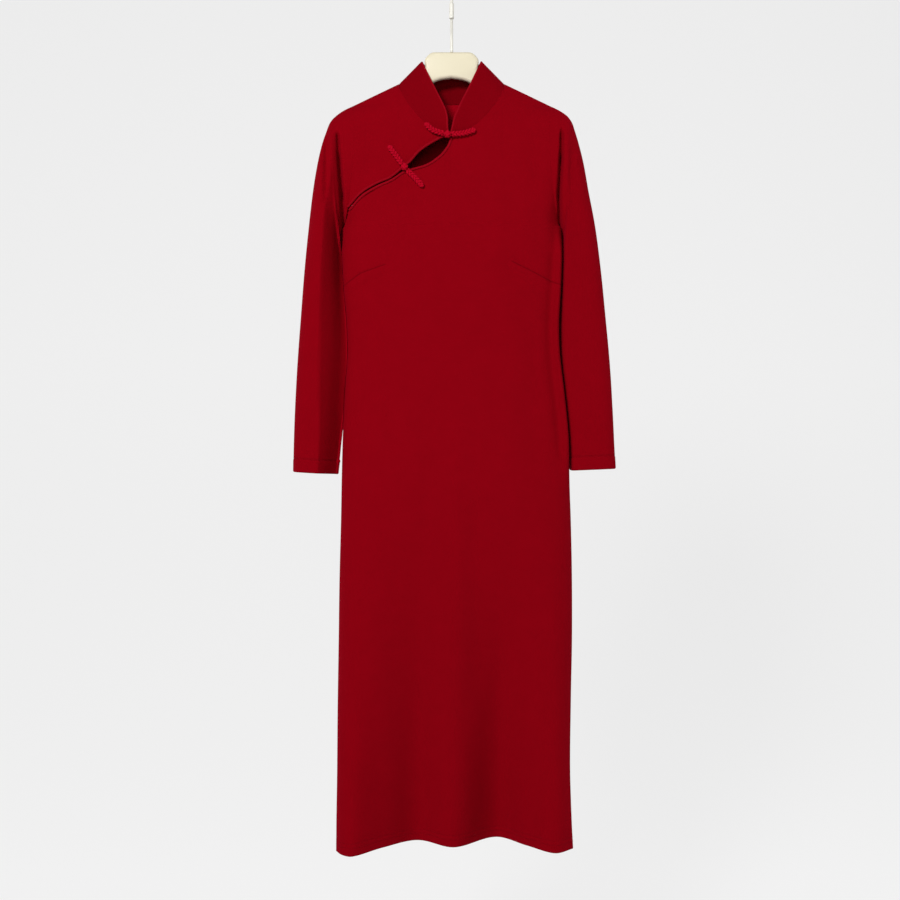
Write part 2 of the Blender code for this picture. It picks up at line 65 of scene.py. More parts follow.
camera_data = bpy.data.cameras.new("camera")
camera_data.lens = CAMERA_LENS
camera_data.sensor_width = 36.0
camera = placed("camera", camera_data)
camera.location = CAMERA_PLACE
camera.rotation_euler = (math.pi / 2, 0.0, 0.0)
scene.camera = camera


def plain_material(name, colour, roughness, **more):
    material = bpy.data.materials.new(name)
    material.use_nodes = True
    shader = material.node_tree.nodes["Principled BSDF"]
    shader.inputs["Base Color"].default_value = colour
    shader.inputs["Roughness"].default_value = roughness
    for socket, value in more.items():
        shader.inputs[socket.replace("_", " ")].default_value = value
    return material


def strip(name, profile, material):
    """A wide strip along a profile of (y, z) places."""
    made = bmesh.new()
    rails = [[made.verts.new((x, y, z)) for y, z in profile] for x in (-HALF_WIDTH, HALF_WIDTH)]
    for i in range(len(profile) - 1):
        made.faces.new((rails[0][i], rails[1][i], rails[1][i + 1], rails[0][i + 1]))
    mesh = bpy.data.meshes.new(name)
    made.to_mesh(mesh)
    made.free()
    mesh.shade_smooth()
    mesh.materials.append(material)
    piece = placed(name, mesh)


floor_end = (FLOOR_END_Y, FLOOR_Z)
sweep = [floor_end, (SWEEP_START_Y, FLOOR_Z)]
for i in range(1, SWEEP_STEPS + 1):
    turn = math.pi / 2 * i / SWEEP_STEPS
    sweep.append((SWEEP_START_Y + SWEEP_R * math.sin(turn), FLOOR_Z + SWEEP_R * (1 - math.cos(turn))))
sweep.append((SWEEP_START_Y + SWEEP_R, PAPER_TOP_Z))
strip("floor", [(FLOOR_START_Y, FLOOR_Z), floor_end], plain_material("pale floor", FLOOR_COLOUR, 0.9))
strip("backdrop", sweep, plain_material(
    "pale paper", PAPER_COLOUR, 0.9, Emission_Color=(1.0, 1.0, 1.0, 1.0), Emission_Strength=PAPER_GLOW))


def soft_light(name, place, target, size, power):
    data = bpy.data.lights.new(name, "AREA")
    data.shape = "DISK"
    data.size = size
    data.energy = power
    light = placed(name, data)
    light.location = place
    light.rotation_euler = (Vector(target) - Vector(place)).to_track_quat("-Z", "Y").to_euler()


soft_light("key_light", (-1.15, -2.6, 0.70), (0.0, 0.0, -0.50), 0.8, 72.0)
soft_light("front_light", (0.0, -3.4, -0.55), (0.0, 0.0, -0.50), 1.0, 12.0)
soft_light("side_light", (2.3, -0.40, -0.2), (0.1, 0.0, -0.5), 0.7, 13.0)
world = bpy.data.worlds.new("room")
world.use_nodes = True
room = world.node_tree.nodes["Background"]
room.inputs["Color"].default_value = ROOM_COLOUR
seen = world.node_tree.nodes.new("ShaderNodeLightPath").outputs["Is Camera Ray"]
glow = world.node_tree.nodes.new("ShaderNodeMath")
glow.operation = "MULTIPLY_ADD"
world.node_tree.links.new(seen, glow.inputs[0])
glow.inputs[1].default_value, glow.inputs[2].default_value = ROOM_SEEN, ROOM_LIGHT
world.node_tree.links.new(glow.outputs[0], room.inputs["Strength"])
scene.world = world

# The knitted wool: a fine stocking stitch in crimson wool, with a short soft nap that
# catches the light where the cloth turns away. The stitches stand in rows up each piece,
# on a UV map laid out in metres of cloth.
WALE, COURSE = 0.0017, 0.0013
WOOL_COLOUR = (0.290, 0.0004, 0.0060, 1.0)
WOOL_SHADE = (0.235, 0.0003, 0.0045, 1.0)
# The purl side, seen inside the dress, is painted lighter than the face: painted light where the inside lies
# in shade.
PURL_PAINTED_LIGHT_COLOUR = (0.400, 0.0006, 0.0090, 1.0)
PURL_PAINTED_LIGHT_SHADE = (0.310, 0.0005, 0.0070, 1.0)
WOOL_SHEEN = (1.0, 0.004, 0.05, 1.0)
# The darts' sewn lines are drawn in this darker colour: painted shade in their folds.
DART_LINE_PAINTED_SHADE = (0.165, 0.0002, 0.0035, 1.0)


class Tree:
    """Short names for adding and linking nodes."""

    def __init__(self, tree):
        self.tree = tree

    def add(self, kind, sources=(), **values):
        """A node with its settings, and what feeds its inputs, by name or number."""
        node = self.tree.nodes.new(kind)
        for name, value in values.items():
            setattr(node, name, value)
        for name, source in dict(sources).items():
            self.feed(node.inputs[name], source)
        return node

    def feed(self, socket, source):
        if isinstance(source, bpy.types.NodeSocket):
            self.tree.links.new(source, socket)
        else:
            socket.default_value = source

    def math(self, operation, *sources):
        node = self.add("ShaderNodeMath", operation=operation)
        for socket, source in zip(node.inputs, sources):
            self.feed(socket, source)
        return node.outputs[0]

    def mix(self, share, none, full):
        """A colour that runs from one to the other with the share."""
        return self.add("ShaderNodeMix", {0: share, 6: none, 7: full}, data_type="RGBA").outputs[2]

    def noise(self, **settings):
        """Noise on the object's own coordinates."""
        place = self.add("ShaderNodeTexCoord").outputs["Object"]
        return self.add("ShaderNodeTexNoise", {"Vector": place, **settings}).outputs[0]

    def bump(self, height, strength, distance, **more):
        return self.add("ShaderNodeBump", {
            "Height": height, "Strength": strength, "Distance": distance, **more}).outputs[0]


def node_tree(kind, name, inputs, outputs, body="NodeSocketVector"):
    """A tree of number inputs with their usual values. None stands for what the tree works on."""
    tree = bpy.data.node_groups.new(name, kind)
    for socket, value in inputs.items():
        if value is None:
            tree.interface.new_socket(socket, in_out="INPUT", socket_type=body)
        else:
            size = tree.interface.new_socket(socket, in_out="INPUT", socket_type="NodeSocketFloat")
            size.default_value = value
    made = "NodeSocketFloat" if kind == "ShaderNodeTree" else body
    for socket in outputs:
        tree.interface.new_socket(socket, in_out="OUTPUT", socket_type=made)
    work = Tree(tree)
    return work, work.add("NodeGroupInput").outputs, work.add("NodeGroupOutput").inputs


def knit_group():
    """Rows of V stitches: their height, and a mask of the threads over the gaps between them, which the wool
    uses to paint shade into the gaps.
    """
    work, given, out = node_tree(
        "ShaderNodeTree", "knit stitches",
        {"Cloth": None, "Wale": WALE, "Course": COURSE}, ("Height", "Thread"))
    split = work.add("ShaderNodeSeparateXYZ", {0: given["Cloth"]})
    wale = work.math("FRACT", work.math("DIVIDE", split.outputs[0], given["Wale"]))
    course = work.math("DIVIDE", split.outputs[1], given["Course"])
    leg = work.math("ABSOLUTE", work.math("SUBTRACT", wale, 0.5))
    slant = work.math("SUBTRACT", course, work.math("MULTIPLY", leg, 1.7))
    along = work.math("SINE", work.math("MULTIPLY", slant, 2 * math.pi))
    loop = work.math("MULTIPLY_ADD", along, 0.5, 0.5)
    bulge = work.math("SINE", work.math("MULTIPLY", leg, 2 * math.pi))
    rounded = work.math("POWER", work.math("MAXIMUM", bulge, 0.0), 0.6)
    height = work.math("MULTIPLY", rounded, work.math("MULTIPLY_ADD", loop, 0.65, 0.35))
    work.feed(out["Height"], height)
    work.feed(out["Thread"], work.math("SMOOTH_MIN", height, 0.8, 0.2))
    return work.tree


KNIT = knit_group()


def sewn_line_group():
    """A mask that is 1 on a straight sewn line between two places seen from the front, used to paint shade
    along the line.
    """
    work, given, out = node_tree(
        "ShaderNodeTree", "sewn line",
        {"Place": None, "Start X": 0.0, "Start Z": 0.0, "End X": 0.1, "End Z": 0.0, "Width": 0.001},
        ("Line",))
    split = work.add("ShaderNodeSeparateXYZ", {0: given["Place"]})
    run_x = work.math("SUBTRACT", given["End X"], given["Start X"])
    run_z = work.math("SUBTRACT", given["End Z"], given["Start Z"])
    from_x = work.math("SUBTRACT", split.outputs[0], given["Start X"])
    from_z = work.math("SUBTRACT", split.outputs[2], given["Start Z"])
    square = work.math("MULTIPLY_ADD", run_x, run_x, work.math("MULTIPLY", run_z, run_z))
    dot = work.math("MULTIPLY_ADD", from_x, run_x, work.math("MULTIPLY", from_z, run_z))
    share = work.math("MINIMUM", work.math("MAXIMUM", work.math("DIVIDE", dot, square), 0.0), 1.0)
    off_x = work.math("SUBTRACT", from_x, work.math("MULTIPLY", share, run_x))
    off_z = work.math("SUBTRACT", from_z, work.math("MULTIPLY", share, run_z))
    far = work.math("SQRT", work.math("MULTIPLY_ADD", off_x, off_x, work.math("MULTIPLY", off_z, off_z)))
    near = work.math("SUBTRACT", 1.0, work.math("DIVIDE", far, given["Width"]))
    face = work.math("LESS_THAN", split.outputs[1], 0.0)
    work.feed(out["Line"], work.math("MULTIPLY", work.math("MAXIMUM", near, 0.0), face))
    return work.tree


SEWN_LINE = sewn_line_group()


def woolly(name, colour, roughness, sheen, sheen_roughness, specular):
    """A wool material, the tree in it and its shader."""
    material = plain_material(
        name, colour, roughness, Sheen_Weight=sheen, Sheen_Roughness=sheen_roughness,
        Sheen_Tint=WOOL_SHEEN, Specular_IOR_Level=specular)
    return material, Tree(material.node_tree), material.node_tree.nodes["Principled BSDF"].inputs


def wool(name, colour=WOOL_COLOUR, shade=WOOL_SHADE, wale=WALE, course=COURSE, relief=0.00016, lines=()):
    """Knitted wool on the piece's own cloth map, with faint mottling, painted shade in the gaps between the
    stitches, a felted nap, and any sewn lines drawn as painted shade.
    """
    material, work, shader = woolly(name, colour, 0.95, 0.22, 0.45, 0.02)
    cloth = work.add("ShaderNodeUVMap", uv_map="cloth").outputs[0]
    knit = work.add("ShaderNodeGroup", node_tree=KNIT)
    for socket, source in (("Cloth", cloth), ("Wale", wale), ("Course", course)):
        work.feed(knit.inputs[socket], source)
    mottle = work.noise(Scale=34.0, Detail=4.0, Roughness=0.62)
    fuzz = work.noise(Scale=620.0, Detail=3.0)
    tone = work.math("MULTIPLY_ADD", mottle, 0.55, work.math("MULTIPLY", fuzz, 0.35))
    # The thread mask darkens the gaps between the stitches: painted shade.
    tone = work.math("MULTIPLY", tone, work.math("MULTIPLY_ADD", knit.outputs["Thread"], 0.5, 0.75))
    place = work.add("ShaderNodeTexCoord").outputs["Object"]
    sewn = 0.0
    for line in lines:
        mark = work.add("ShaderNodeGroup", node_tree=SEWN_LINE)
        for socket, source in zip(mark.inputs, (place, *line)):
            work.feed(socket, source)
        sewn = work.math("MAXIMUM", sewn, mark.outputs[0])
    # Sewn lines darken the colour: painted shade.
    work.feed(shader["Base Color"], work.mix(sewn, work.mix(tone, shade, colour), DART_LINE_PAINTED_SHADE))
    nap = work.bump(fuzz, 0.35, 0.0004)
    work.feed(shader["Normal"], work.bump(knit.outputs["Height"], 0.8, relief, Normal=nap))
    return material


WOOL = wool("crimson wool knit")
PURL_PAINTED_LIGHT = wool("crimson wool knit, purl side, painted lighter", PURL_PAINTED_LIGHT_COLOUR, PURL_PAINTED_LIGHT_SHADE, COURSE * 2, WALE * 0.9, 0.00022)

# The front: one long panel of the knit, from the hem to the neck and the wearer's left
# shoulder, shaped by two bust darts. It hangs from the hanger's arms, closes at the sides
# down to the slits, and its lower edge swings forward and back in three soft lobes.
WALL = 0.0019
SEAM = 0.0003
SEWN = 0.00006
FRONT, BACK = -1, 1
HEM_Z, SLIT_TOP_Z, FOLD_TOP_Z = -1.382, -1.000, -0.800
SHOULDER_X, SHOULDER_Z = 0.164, -0.181
ARMPIT_X, ARMPIT_Z = 0.178, -0.380
NECK_X, NECK_Z = 0.086, -0.144
NECK_DROP = {FRONT: 0.0935, BACK: 0.025}
NECK_ROUND = {FRONT: 1.5, BACK: 2.2}
NECK_CENTRE_X = -0.004
FULL_DEPTH = 0.060
ROLL = {FRONT: 0.010, BACK: 0.012}
SIDE_ROUND = 2.5
CHEST_BLEND_TOP_Z, CHEST_BLEND_DEPTH = -0.290, 0.130
ARMHOLE_BOW, ARMHOLE_DEPTH = 0.012, 0.030
UNDERARM_FADE = 0.180
RIM_RISE, RIM_PART, RIM_WIDTH = 0.0180, 0.985, 0.045
RIM_TOP_Z, RIM_LOW_Z = -0.370, -0.820
BINDING_R = 0.0016
BOUND = 2 * BINDING_R + 2 * SEAM
COLUMN_STEPS = 5
DOUBLED = 0.0013

Section = namedtuple("Section", "z left right front back")
SECTIONS = [
    Section(-1.382, -0.1850, 0.1960, 0.050, 0.048),
    Section(-1.330, -0.1850, 0.1935, 0.050, 0.048),
    Section(-1.250, -0.1842, 0.1915, 0.050, 0.048),
    Section(-1.150, -0.1845, 0.1935, 0.050, 0.048),
    Section(-1.050, -0.1838, 0.1960, 0.050, 0.048),
    Section(-0.950, -0.1825, 0.1960, 0.051, 0.049),
    Section(-0.850, -0.1800, 0.1940, 0.050, 0.048),
    Section(-0.780, -0.1788, 0.1912, 0.049, 0.047),
    Section(-0.707, -0.1768, 0.1880, 0.046, 0.044),
    Section(-0.642, -0.1735, 0.1815, 0.043, 0.041),
    Section(-0.585, -0.1695, 0.1750, 0.042, 0.040),
    Section(-0.535, -0.1705, 0.1735, 0.042, 0.040),
    Section(-0.479, -0.1755, 0.1765, 0.044, 0.042),
    Section(-0.414, -0.1785, 0.1790, 0.046, 0.044),
    Section(-0.380, -0.1780, 0.1780, 0.046, 0.045),
]
Fold = namedtuple("Fold", "x y")
FOLDS = {
    FRONT: [
        Fold(-0.190, -0.022), Fold(-0.176, -0.046), Fold(-0.156, -0.054),
        Fold(-0.112, -0.016), Fold(-0.056, 0.019), Fold(0.004, -0.014),
        Fold(0.074, 0.034), Fold(0.122, -0.006), Fold(0.165, -0.040), Fold(0.200, -0.016),
    ],
    BACK: [
        Fold(-0.190, 0.004), Fold(-0.158, 0.040), Fold(-0.118, 0.054), Fold(-0.042, 0.034),
        Fold(0.058, 0.066), Fold(0.122, 0.042), Fold(0.160, 0.046), Fold(0.200, 0.006),
    ],
}
Edge = namedtuple("Edge", "x z")
UPPER_EDGE = [
    Edge(-0.0075, -0.2385), Edge(-0.0180, -0.2417), Edge(-0.0490, -0.2609),
    Edge(-0.0665, -0.2801), Edge(-0.0745, -0.2865), Edge(-0.0968, -0.3048),
    Edge(-0.1176, -0.3136), Edge(-0.1431, -0.3280), Edge(-0.1620, -0.3460), Edge(-0.1655, -0.3493),
]
LOWER_EDGE = [
    Edge(-0.0025, -0.2410), Edge(-0.0040, -0.2475), Edge(-0.0085, -0.2565),
    Edge(-0.0186, -0.2689), Edge(-0.0393, -0.2832), Edge(-0.0601, -0.2896),
    Edge(-0.0765, -0.2946), Edge(-0.0968, -0.3078), Edge(-0.1176, -0.3168),
    Edge(-0.1431, -0.3312), Edge(-0.1625, -0.3500), Edge(-0.1655, -0.3529),
]


def read(rows, key, column, at):
    """A smooth curve through one column of a table, whose key column is in order."""
    if getattr(rows[0], key) > getattr(rows[-1], key):
        rows = rows[::-1]
    keys = [getattr(row, key) for row in rows]
    values = [getattr(row, column) for row in rows]
    if at <= keys[0]:
        return values[0]
    if at >= keys[-1]:
        return values[-1]
    i = 0
    while keys[i + 1] <= at:
        i += 1
    span = keys[i + 1] - keys[i]
    t = (at - keys[i]) / span

    def slope(k):
        low, high = max(k - 1, 0), min(k + 1, len(keys) - 1)
        return (values[high] - values[low]) / (keys[high] - keys[low])

    start, end = slope(i) * span, slope(i + 1) * span
    step = values[i + 1] - values[i]
    return values[i] + t * (start + t * (3 * step - 2 * start - end + t * (start + end - 2 * step)))


def ease(t):
    t = np.clip(t, 0.0, 1.0)
    return t * t * (3 - 2 * t)


def spread(stops):
    values = []
    for (start, steps), (end, _) in zip(stops, stops[1:]):
        values += [start + (end - start) * i / steps for i in range(steps)]
    return values + [stops[-1][0]]


def shoulder_z(x):
    slope = (NECK_Z - SHOULDER_Z) / (SHOULDER_X - NECK_X)
    return SHOULDER_Z + (SHOULDER_X - abs(x)) * slope


def neck_z(side, x):
    bend = NECK_ROUND[side]
    return NECK_Z - NECK_DROP[side] * (1 - min(abs(x) / NECK_X, 1.0) ** bend) ** (1 / bend)


def top_z(side, x):
    return shoulder_z(x) if abs(x) >= NECK_X else neck_z(side, x)


def armhole(z):
    middle = (SHOULDER_Z + ARMPIT_Z) / 2
    up = min(max((z - middle) / (SHOULDER_Z - middle), -1.0), 1.0)
    bulge = math.sqrt(1 - up * up)
    x = (SHOULDER_X + ARMPIT_X) / 2 + (SHOULDER_X - ARMPIT_X) / 2 * up - ARMHOLE_BOW * bulge
    return x, ARMHOLE_DEPTH * bulge


def edges(z):
    if z > ARMPIT_Z:
        half = armhole(z)[0]
        return -half, half
    return read(SECTIONS, "z", "left", z), read(SECTIONS, "z", "right", z)


def across(x, z):
    left, right = edges(z)
    return min(max((2 * x - left - right) / (right - left), -1.0), 1.0)


def seam_depths(z):
    """How far in front of the side seam the panel lies, at its edge and in the cloth beside it."""
    edge = armhole(z)[1] if z > ARMPIT_Z else 0.0
    middle = (SHOULDER_Z + ARMPIT_Z) / 2
    if z > middle:
        return edge, edge
    return edge, ARMHOLE_DEPTH * ease((z - middle + UNDERARM_FADE) / UNDERARM_FADE)


def rounding(part):
    return (1 - min(abs(part), 1.0) ** SIDE_ROUND) ** (1 / SIDE_ROUND)


def panel_point(side, part, z):
    """The outer point of the front or back panel, part running from -1 to 1 between its edges."""
    left, right = edges(z)
    x = (left + right) / 2 + (right - left) / 2 * part
    drop = max(shoulder_z(x) - z, 0.0)
    chest = FULL_DEPTH * (1 - math.exp(-math.sqrt(2 * ROLL[side] * drop) / FULL_DEPTH))
    body = read(SECTIONS, "z", "front" if side == FRONT else "back", z)
    full = chest + (body - chest) * ease((CHEST_BLEND_TOP_Z - z) / CHEST_BLEND_DEPTH)
    edge, seam = seam_depths(z)
    wide, far = (x / ARMPIT_X, right / ARMPIT_X) if z > ARMPIT_Z else (part, 1.0)
    y = seam + (full - seam) * rounding(wide)
    y = side * (y + (edge - seam - (full - seam) * rounding(far)) * abs(part) ** 8)
    if side == FRONT:
        rise = RIM_RISE * ease((RIM_TOP_Z - z) / 0.06) * ease((z - RIM_LOW_Z) / 0.10)
        y -= rise * math.exp(-((part - RIM_PART) / RIM_WIDTH) ** 2)
    swing = max((FOLD_TOP_Z - z) / (FOLD_TOP_Z - HEM_Z), 0.0) ** 1.3
    closed = (1 - ease((SLIT_TOP_Z - z) / 0.25)) * abs(part) ** 12
    y += swing * (1 - closed) * (read(FOLDS[side], "x", "y", x) - y)
    return (x, y, z)


def front_y(x, z):
    return panel_point(FRONT, across(x, z), z)[1]


def even_columns(count):
    """Places from -1 to 1 at equal steps along a body section."""
    turns = np.pi * (np.linspace(0, 1, 2001) - 0.5)
    x = np.sign(np.sin(turns)) * np.abs(np.sin(turns)) ** (2 / SIDE_ROUND)
    y = np.abs(np.cos(turns)) ** (2 / SIDE_ROUND) * SECTIONS[-1].front / ARMPIT_X
    run = np.concatenate([[0.0], np.cumsum(np.hypot(np.diff(x), np.diff(y)))])
    return list(np.interp(np.linspace(0, run[-1], count + 1), run, x))


def offset_edge(edge, distance):
    """An opening edge moved sideways in the cloth: positive is up and to the wearer's right."""
    route = smooth_route([(place.x, 0.0, place.z) for place in edge], 0.002)
    moved = []
    for i, point in enumerate(route):
        along = (route[min(i + 1, len(route) - 1)] - route[max(i - 1, 0)]).normalized()
        moved.append(Edge(point.x + along.z * distance, point.z - along.x * distance))
    return moved


def smooth_route(points, step):
    places = [Vector(p) for p in points]
    run = [0.0]
    for a, b in zip(places, places[1:]):
        run.append(run[-1] + (b - a).length)
    Stop = namedtuple("Stop", "run x y z")
    rows = [Stop(r, *p) for r, p in zip(run, places)]
    count = max(2, round(run[-1] / step))
    return [
        Vector([read(rows, "run", axis, run[-1] * i / count) for axis in "xyz"])
        for i in range(count + 1)
    ]


def z_on(edge, x):
    rows = sorted(edge)
    i = min(sum(1 for row in rows[1:-1] if row.x < x), len(rows) - 2)
    a, b = rows[i], rows[i + 1]
    return a.z + (b.z - a.z) * (x - a.x) / (b.x - a.x)


def rows_between(side, bottoms, tops, count):
    rows = []
    for j in range(count + 1):
        rise = (1 - math.cos(math.pi * j / count)) / 2
        row = []
        for (low_part, low_z), (x, high_z) in zip(bottoms, tops):
            part = low_part + (across(x, high_z) - low_part) * rise
            row.append(panel_point(side, part, low_z + (high_z - low_z) * rise))
        rows.append(row)
    return rows


# Heights of the rows up a panel: close together at the hem's stitching and at the darts
ROW_STOPS = [(HEM_Z, 20), (-1.358, 112), (-0.486, 56), (-0.434, 16), (ARMPIT_Z, 0)]
CHEST_ROWS = 72


def body_rows(side, top_stops, top_of):
    xs = spread(top_stops)
    columns = even_columns(len(xs) - 1)
    skirt = [[panel_point(side, part, z) for part in columns] for z in spread(ROW_STOPS)[:-1]]
    tops = [(x, top_of(x)) for x in xs]
    chest = rows_between(side, [(part, ARMPIT_Z) for part in columns], tops, CHEST_ROWS)
    points = np.array(skirt + chest)
    near = np.exp(-((points[..., 2] - ARMPIT_Z) / 0.025) ** 2)
    near[[0, -1]] = 0.0
    for _ in range(60):
        y = points[..., 1]
        mean = (np.roll(y, 1, 0) + np.roll(y, -1, 0)) / 2
        points[..., 1] = y + (mean - y) * near
    return points


# A soft trough or ridge in the cloth, from one place to another seen from the front
Crease = namedtuple("Crease", "x1 z1 x2 z2 width depth")
FRONT_CREASES = [
    Crease(-0.1700, -0.4720, -0.1466, -0.4567, 0.0020, -0.0013),
    Crease(-0.1466, -0.4567, -0.1061, -0.4438, 0.0019, -0.0010),
    Crease(0.1760, -0.4762, 0.0961, -0.4390, 0.0020, -0.0013),
    Crease(-0.1700, -0.4800, -0.1066, -0.4500, 0.0060, 0.0011),
    Crease(0.1760, -0.4840, 0.0961, -0.4460, 0.0060, 0.0011),
    Crease(-0.0960, -0.4330, -0.0500, -0.4350, 0.0300, 0.0016),
    Crease(0.0880, -0.4330, 0.0420, -0.4380, 0.0300, 0.0016),
    Crease(-0.1280, -0.2200, -0.1360, -0.4200, 0.0110, -0.0012),
    Crease(0.1310, -0.2300, 0.1400, -0.4100, 0.0120, -0.0010),
    Crease(-0.1180, -0.5100, -0.1080, -0.7200, 0.0160, 0.0020),
    Crease(-0.1480, -0.5300, -0.1500, -0.7600, 0.0110, -0.0015),
    Crease(0.1280, -0.5400, 0.1340, -0.7600, 0.0140, -0.0017),
    Crease(0.0950, -0.5600, 0.0900, -0.7800, 0.0180, 0.0014),
    Crease(-0.0300, -0.6200, -0.0420, -0.9200, 0.0180, -0.0016),
    Crease(0.0060, -0.6800, 0.0060, -1.1200, 0.0170, 0.0028),
    Crease(0.0420, -0.7400, 0.0380, -1.1500, 0.0160, -0.0024),
    Crease(-0.1140, -0.8200, -0.1210, -1.2400, 0.0200, 0.0022),
    Crease(0.1300, -0.8600, 0.1370, -1.2600, 0.0190, 0.0018),
]


def with_creases(points, side, creases):
    """The panel's points with each crease pressed in or raised, straight out of the cloth's face."""
    points = points.copy()
    x, z = points[..., 0], points[..., 2]
    shift = np.zeros_like(x)
    for crease in creases:
        dx, dz = crease.x2 - crease.x1, crease.z2 - crease.z1
        length = math.hypot(dx, dz)
        along = ((x - crease.x1) * dx + (z - crease.z1) * dz) / length
        off = ((x - crease.x1) * dz - (z - crease.z1) * dx) / length
        fade = max(length * 0.28, crease.width)
        ends = ease((along + fade * 0.4) / fade) * ease((length + fade * 0.4 - along) / fade)
        shift += crease.depth * ends * np.exp(-(off / crease.width) ** 2)
    points[..., 1] += side * shift
    return points


def hold_panel(side):
    """Keeps a panel on its side of the side, shoulder and armhole seams."""
    def hold(points):
        closed = points[:, 2] > SLIT_TOP_Z - 0.08
        points[closed, 1] = side * np.maximum(side * points[closed, 1], SEWN / 2)
        for i in np.nonzero(points[:, 2] > ARMPIT_Z)[0]:
            limit = armhole(points[i, 2])[0] - SEWN / 2
            points[i, 0] = min(max(points[i, 0], -limit), limit)
    return hold


def face_normals(points, ring):
    """Unit normals of a grid of points: along the row, crossed with up the rows."""
    if ring:
        along = np.roll(points, -1, 1) - np.roll(points, 1, 1)
    else:
        along = np.gradient(points, axis=1)
    normals = np.cross(along, np.gradient(points, axis=0))
    return normals / np.maximum(np.linalg.norm(normals, axis=2, keepdims=True), 1e-12)


def cloth_map(points, ring):
    """Where each point lies on the flat cloth, in metres: across from the middle, and up."""
    closing = np.concatenate([points, points[:, :1]], axis=1) if ring else points
    steps = np.linalg.norm(np.diff(closing, axis=1), axis=2)
    run = np.concatenate([np.zeros((len(points), 1)), np.cumsum(steps, axis=1)], axis=1)
    u = run - run[:, run.shape[1] // 2][:, None]
    rise = np.linalg.norm(np.diff(closing, axis=0), axis=2)
    v = np.concatenate([np.zeros((1, closing.shape[1])), np.cumsum(rise, axis=0)])
    return u, v


def shell(name, points, hold, material, wall, ring=False, flip=False, round_rim=()):
    """A wall of cloth inside a grid of outer points. wall is its thickness at each point, and round_rim names
    the open edges that are turned over rather than sewn: low, high, first, last."""
    rows, columns = points.shape[:2]
    normals = face_normals(points, ring) * (-1 if flip else 1)
    inner = points - normals * wall[..., None]
    count = rows * columns
    grid = np.arange(count).reshape(rows, columns)
    u, v = cloth_map(points, ring)
    wrap = columns if ring else columns - 1
    faces, maps, purl = [], [], []

    def add(corners, places, inside=0):
        faces.append(corners)
        maps.append(places)
        purl.append(inside)

    for r in range(rows - 1):
        for c in range(wrap):
            d = (c + 1) % columns
            quad = [grid[r, c], grid[r, d], grid[r + 1, d], grid[r + 1, c]]
            places = [(u[r, c], v[r, c]), (u[r, c + 1], v[r, c + 1 if not ring else c]),
                      (u[r + 1, c + 1], v[r + 1, c + 1 if not ring else c]), (u[r + 1, c], v[r + 1, c])]
            under = [corner + count for corner in quad]
            if flip:
                add(quad[::-1], places[::-1])
                add(under, places, 1)
            else:
                add(quad, places)
                add(under[::-1], places[::-1], 1)
    extra = []

    def rim(loop, closed):
        """One strip of two faces' width round an open edge, bulging where the cloth is turned over."""
        mids = []
        for r, c, out_r, out_c, turned in loop:
            middle = (points[r, c] + inner[r, c]) / 2
            if turned:
                away = np.zeros(3)
                if out_r:
                    away += unit(points[r, c] - points[r - out_r, c])
                if out_c:
                    away += unit(points[r, c] - points[r, c - out_c])
                middle = middle + unit(away) * wall[r, c] * 0.45
            mids.append(2 * count + len(extra))
            extra.append(middle)
        last = len(loop) if closed else len(loop) - 1
        for i in range(last):
            j = (i + 1) % len(loop)
            here, there = loop[i][:2], loop[j][:2]
            a, b = grid[here], grid[there]
            place = [(u[here], v[here]), (u[there], v[there])]
            for low, high in (((b, a), (mids[i], mids[j])), ((mids[j], mids[i]), (a + count, b + count))):
                corners = [*low, *high]
                where = [place[1], place[0], place[0], place[1]]
                add(corners[::-1] if flip else corners, where[::-1] if flip else where)

    low, high, first, last = (edge in round_rim for edge in ("low", "high", "first", "last"))
    if ring:
        rim([(0, c, -1, 0, low) for c in range(columns)], True)
        rim([(rows - 1, c, 1, 0, high) for c in reversed(range(columns))], True)
    else:
        loop = [(0, c, -1, 0, low) for c in range(1, columns - 1)]
        loop += [(0, columns - 1, -1, 1, low and last)]
        loop += [(r, columns - 1, 0, 1, last) for r in range(1, rows - 1)]
        loop += [(rows - 1, columns - 1, 1, 1, high and last)]
        loop += [(rows - 1, c, 1, 0, high) for c in range(columns - 2, 0, -1)]
        loop += [(rows - 1, 0, 1, -1, high and first)]
        loop += [(r, 0, 0, -1, first) for r in range(rows - 2, 0, -1)]
        loop += [(0, 0, -1, -1, low and first)]
        rim(loop, True)
    every = np.concatenate([points.reshape(-1, 3), inner.reshape(-1, 3), np.array(extra).reshape(-1, 3)])
    hold(every)
    mesh = bpy.data.meshes.new(name)
    mesh.from_pydata(every.tolist(), [], [[int(i) for i in face] for face in faces])
    layer = mesh.uv_layers.new(name="cloth")
    layer.data.foreach_set("uv", np.array([p for places in maps for p in places], dtype=np.float32).ravel())
    mesh.shade_smooth()
    mesh.set_sharp_from_angle(angle=math.radians(62))
    mesh.materials.append(material)
    # Inner faces take the purl-side wool, which is painted lighter than the face.
    mesh.materials.append(PURL_PAINTED_LIGHT)
    mesh.polygons.foreach_set("material_index", purl)
    mesh.validate()
    piece = placed(name, mesh)
    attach(piece, "root")
    return piece


def unit(vector):
    return vector / max(np.linalg.norm(vector), 1e-12)


def doubled(points, edge_z, depth):
    """Wall thickness: the cloth is turned up and doubled below the line of stitching."""
    above = points[..., 2] - edge_z
    return WALL + DOUBLED * (1 - ease((above - depth) / 0.003))


HEM_STITCH = 0.018
SECOND_STITCH = 0.011
HEM_RISE, GROOVE_WIDTH = 0.0005, 0.0014


def hem_rise(height, lines):
    """How far doubled cloth stands out above its edge, with a groove along each row of stitching."""
    rise = HEM_RISE * (1 - ease((height - lines[0] + 0.002) / 0.004))
    for line in lines:
        rise = rise - HEM_RISE * np.exp(-((height - line) / GROOVE_WIDTH) ** 2)
    return rise


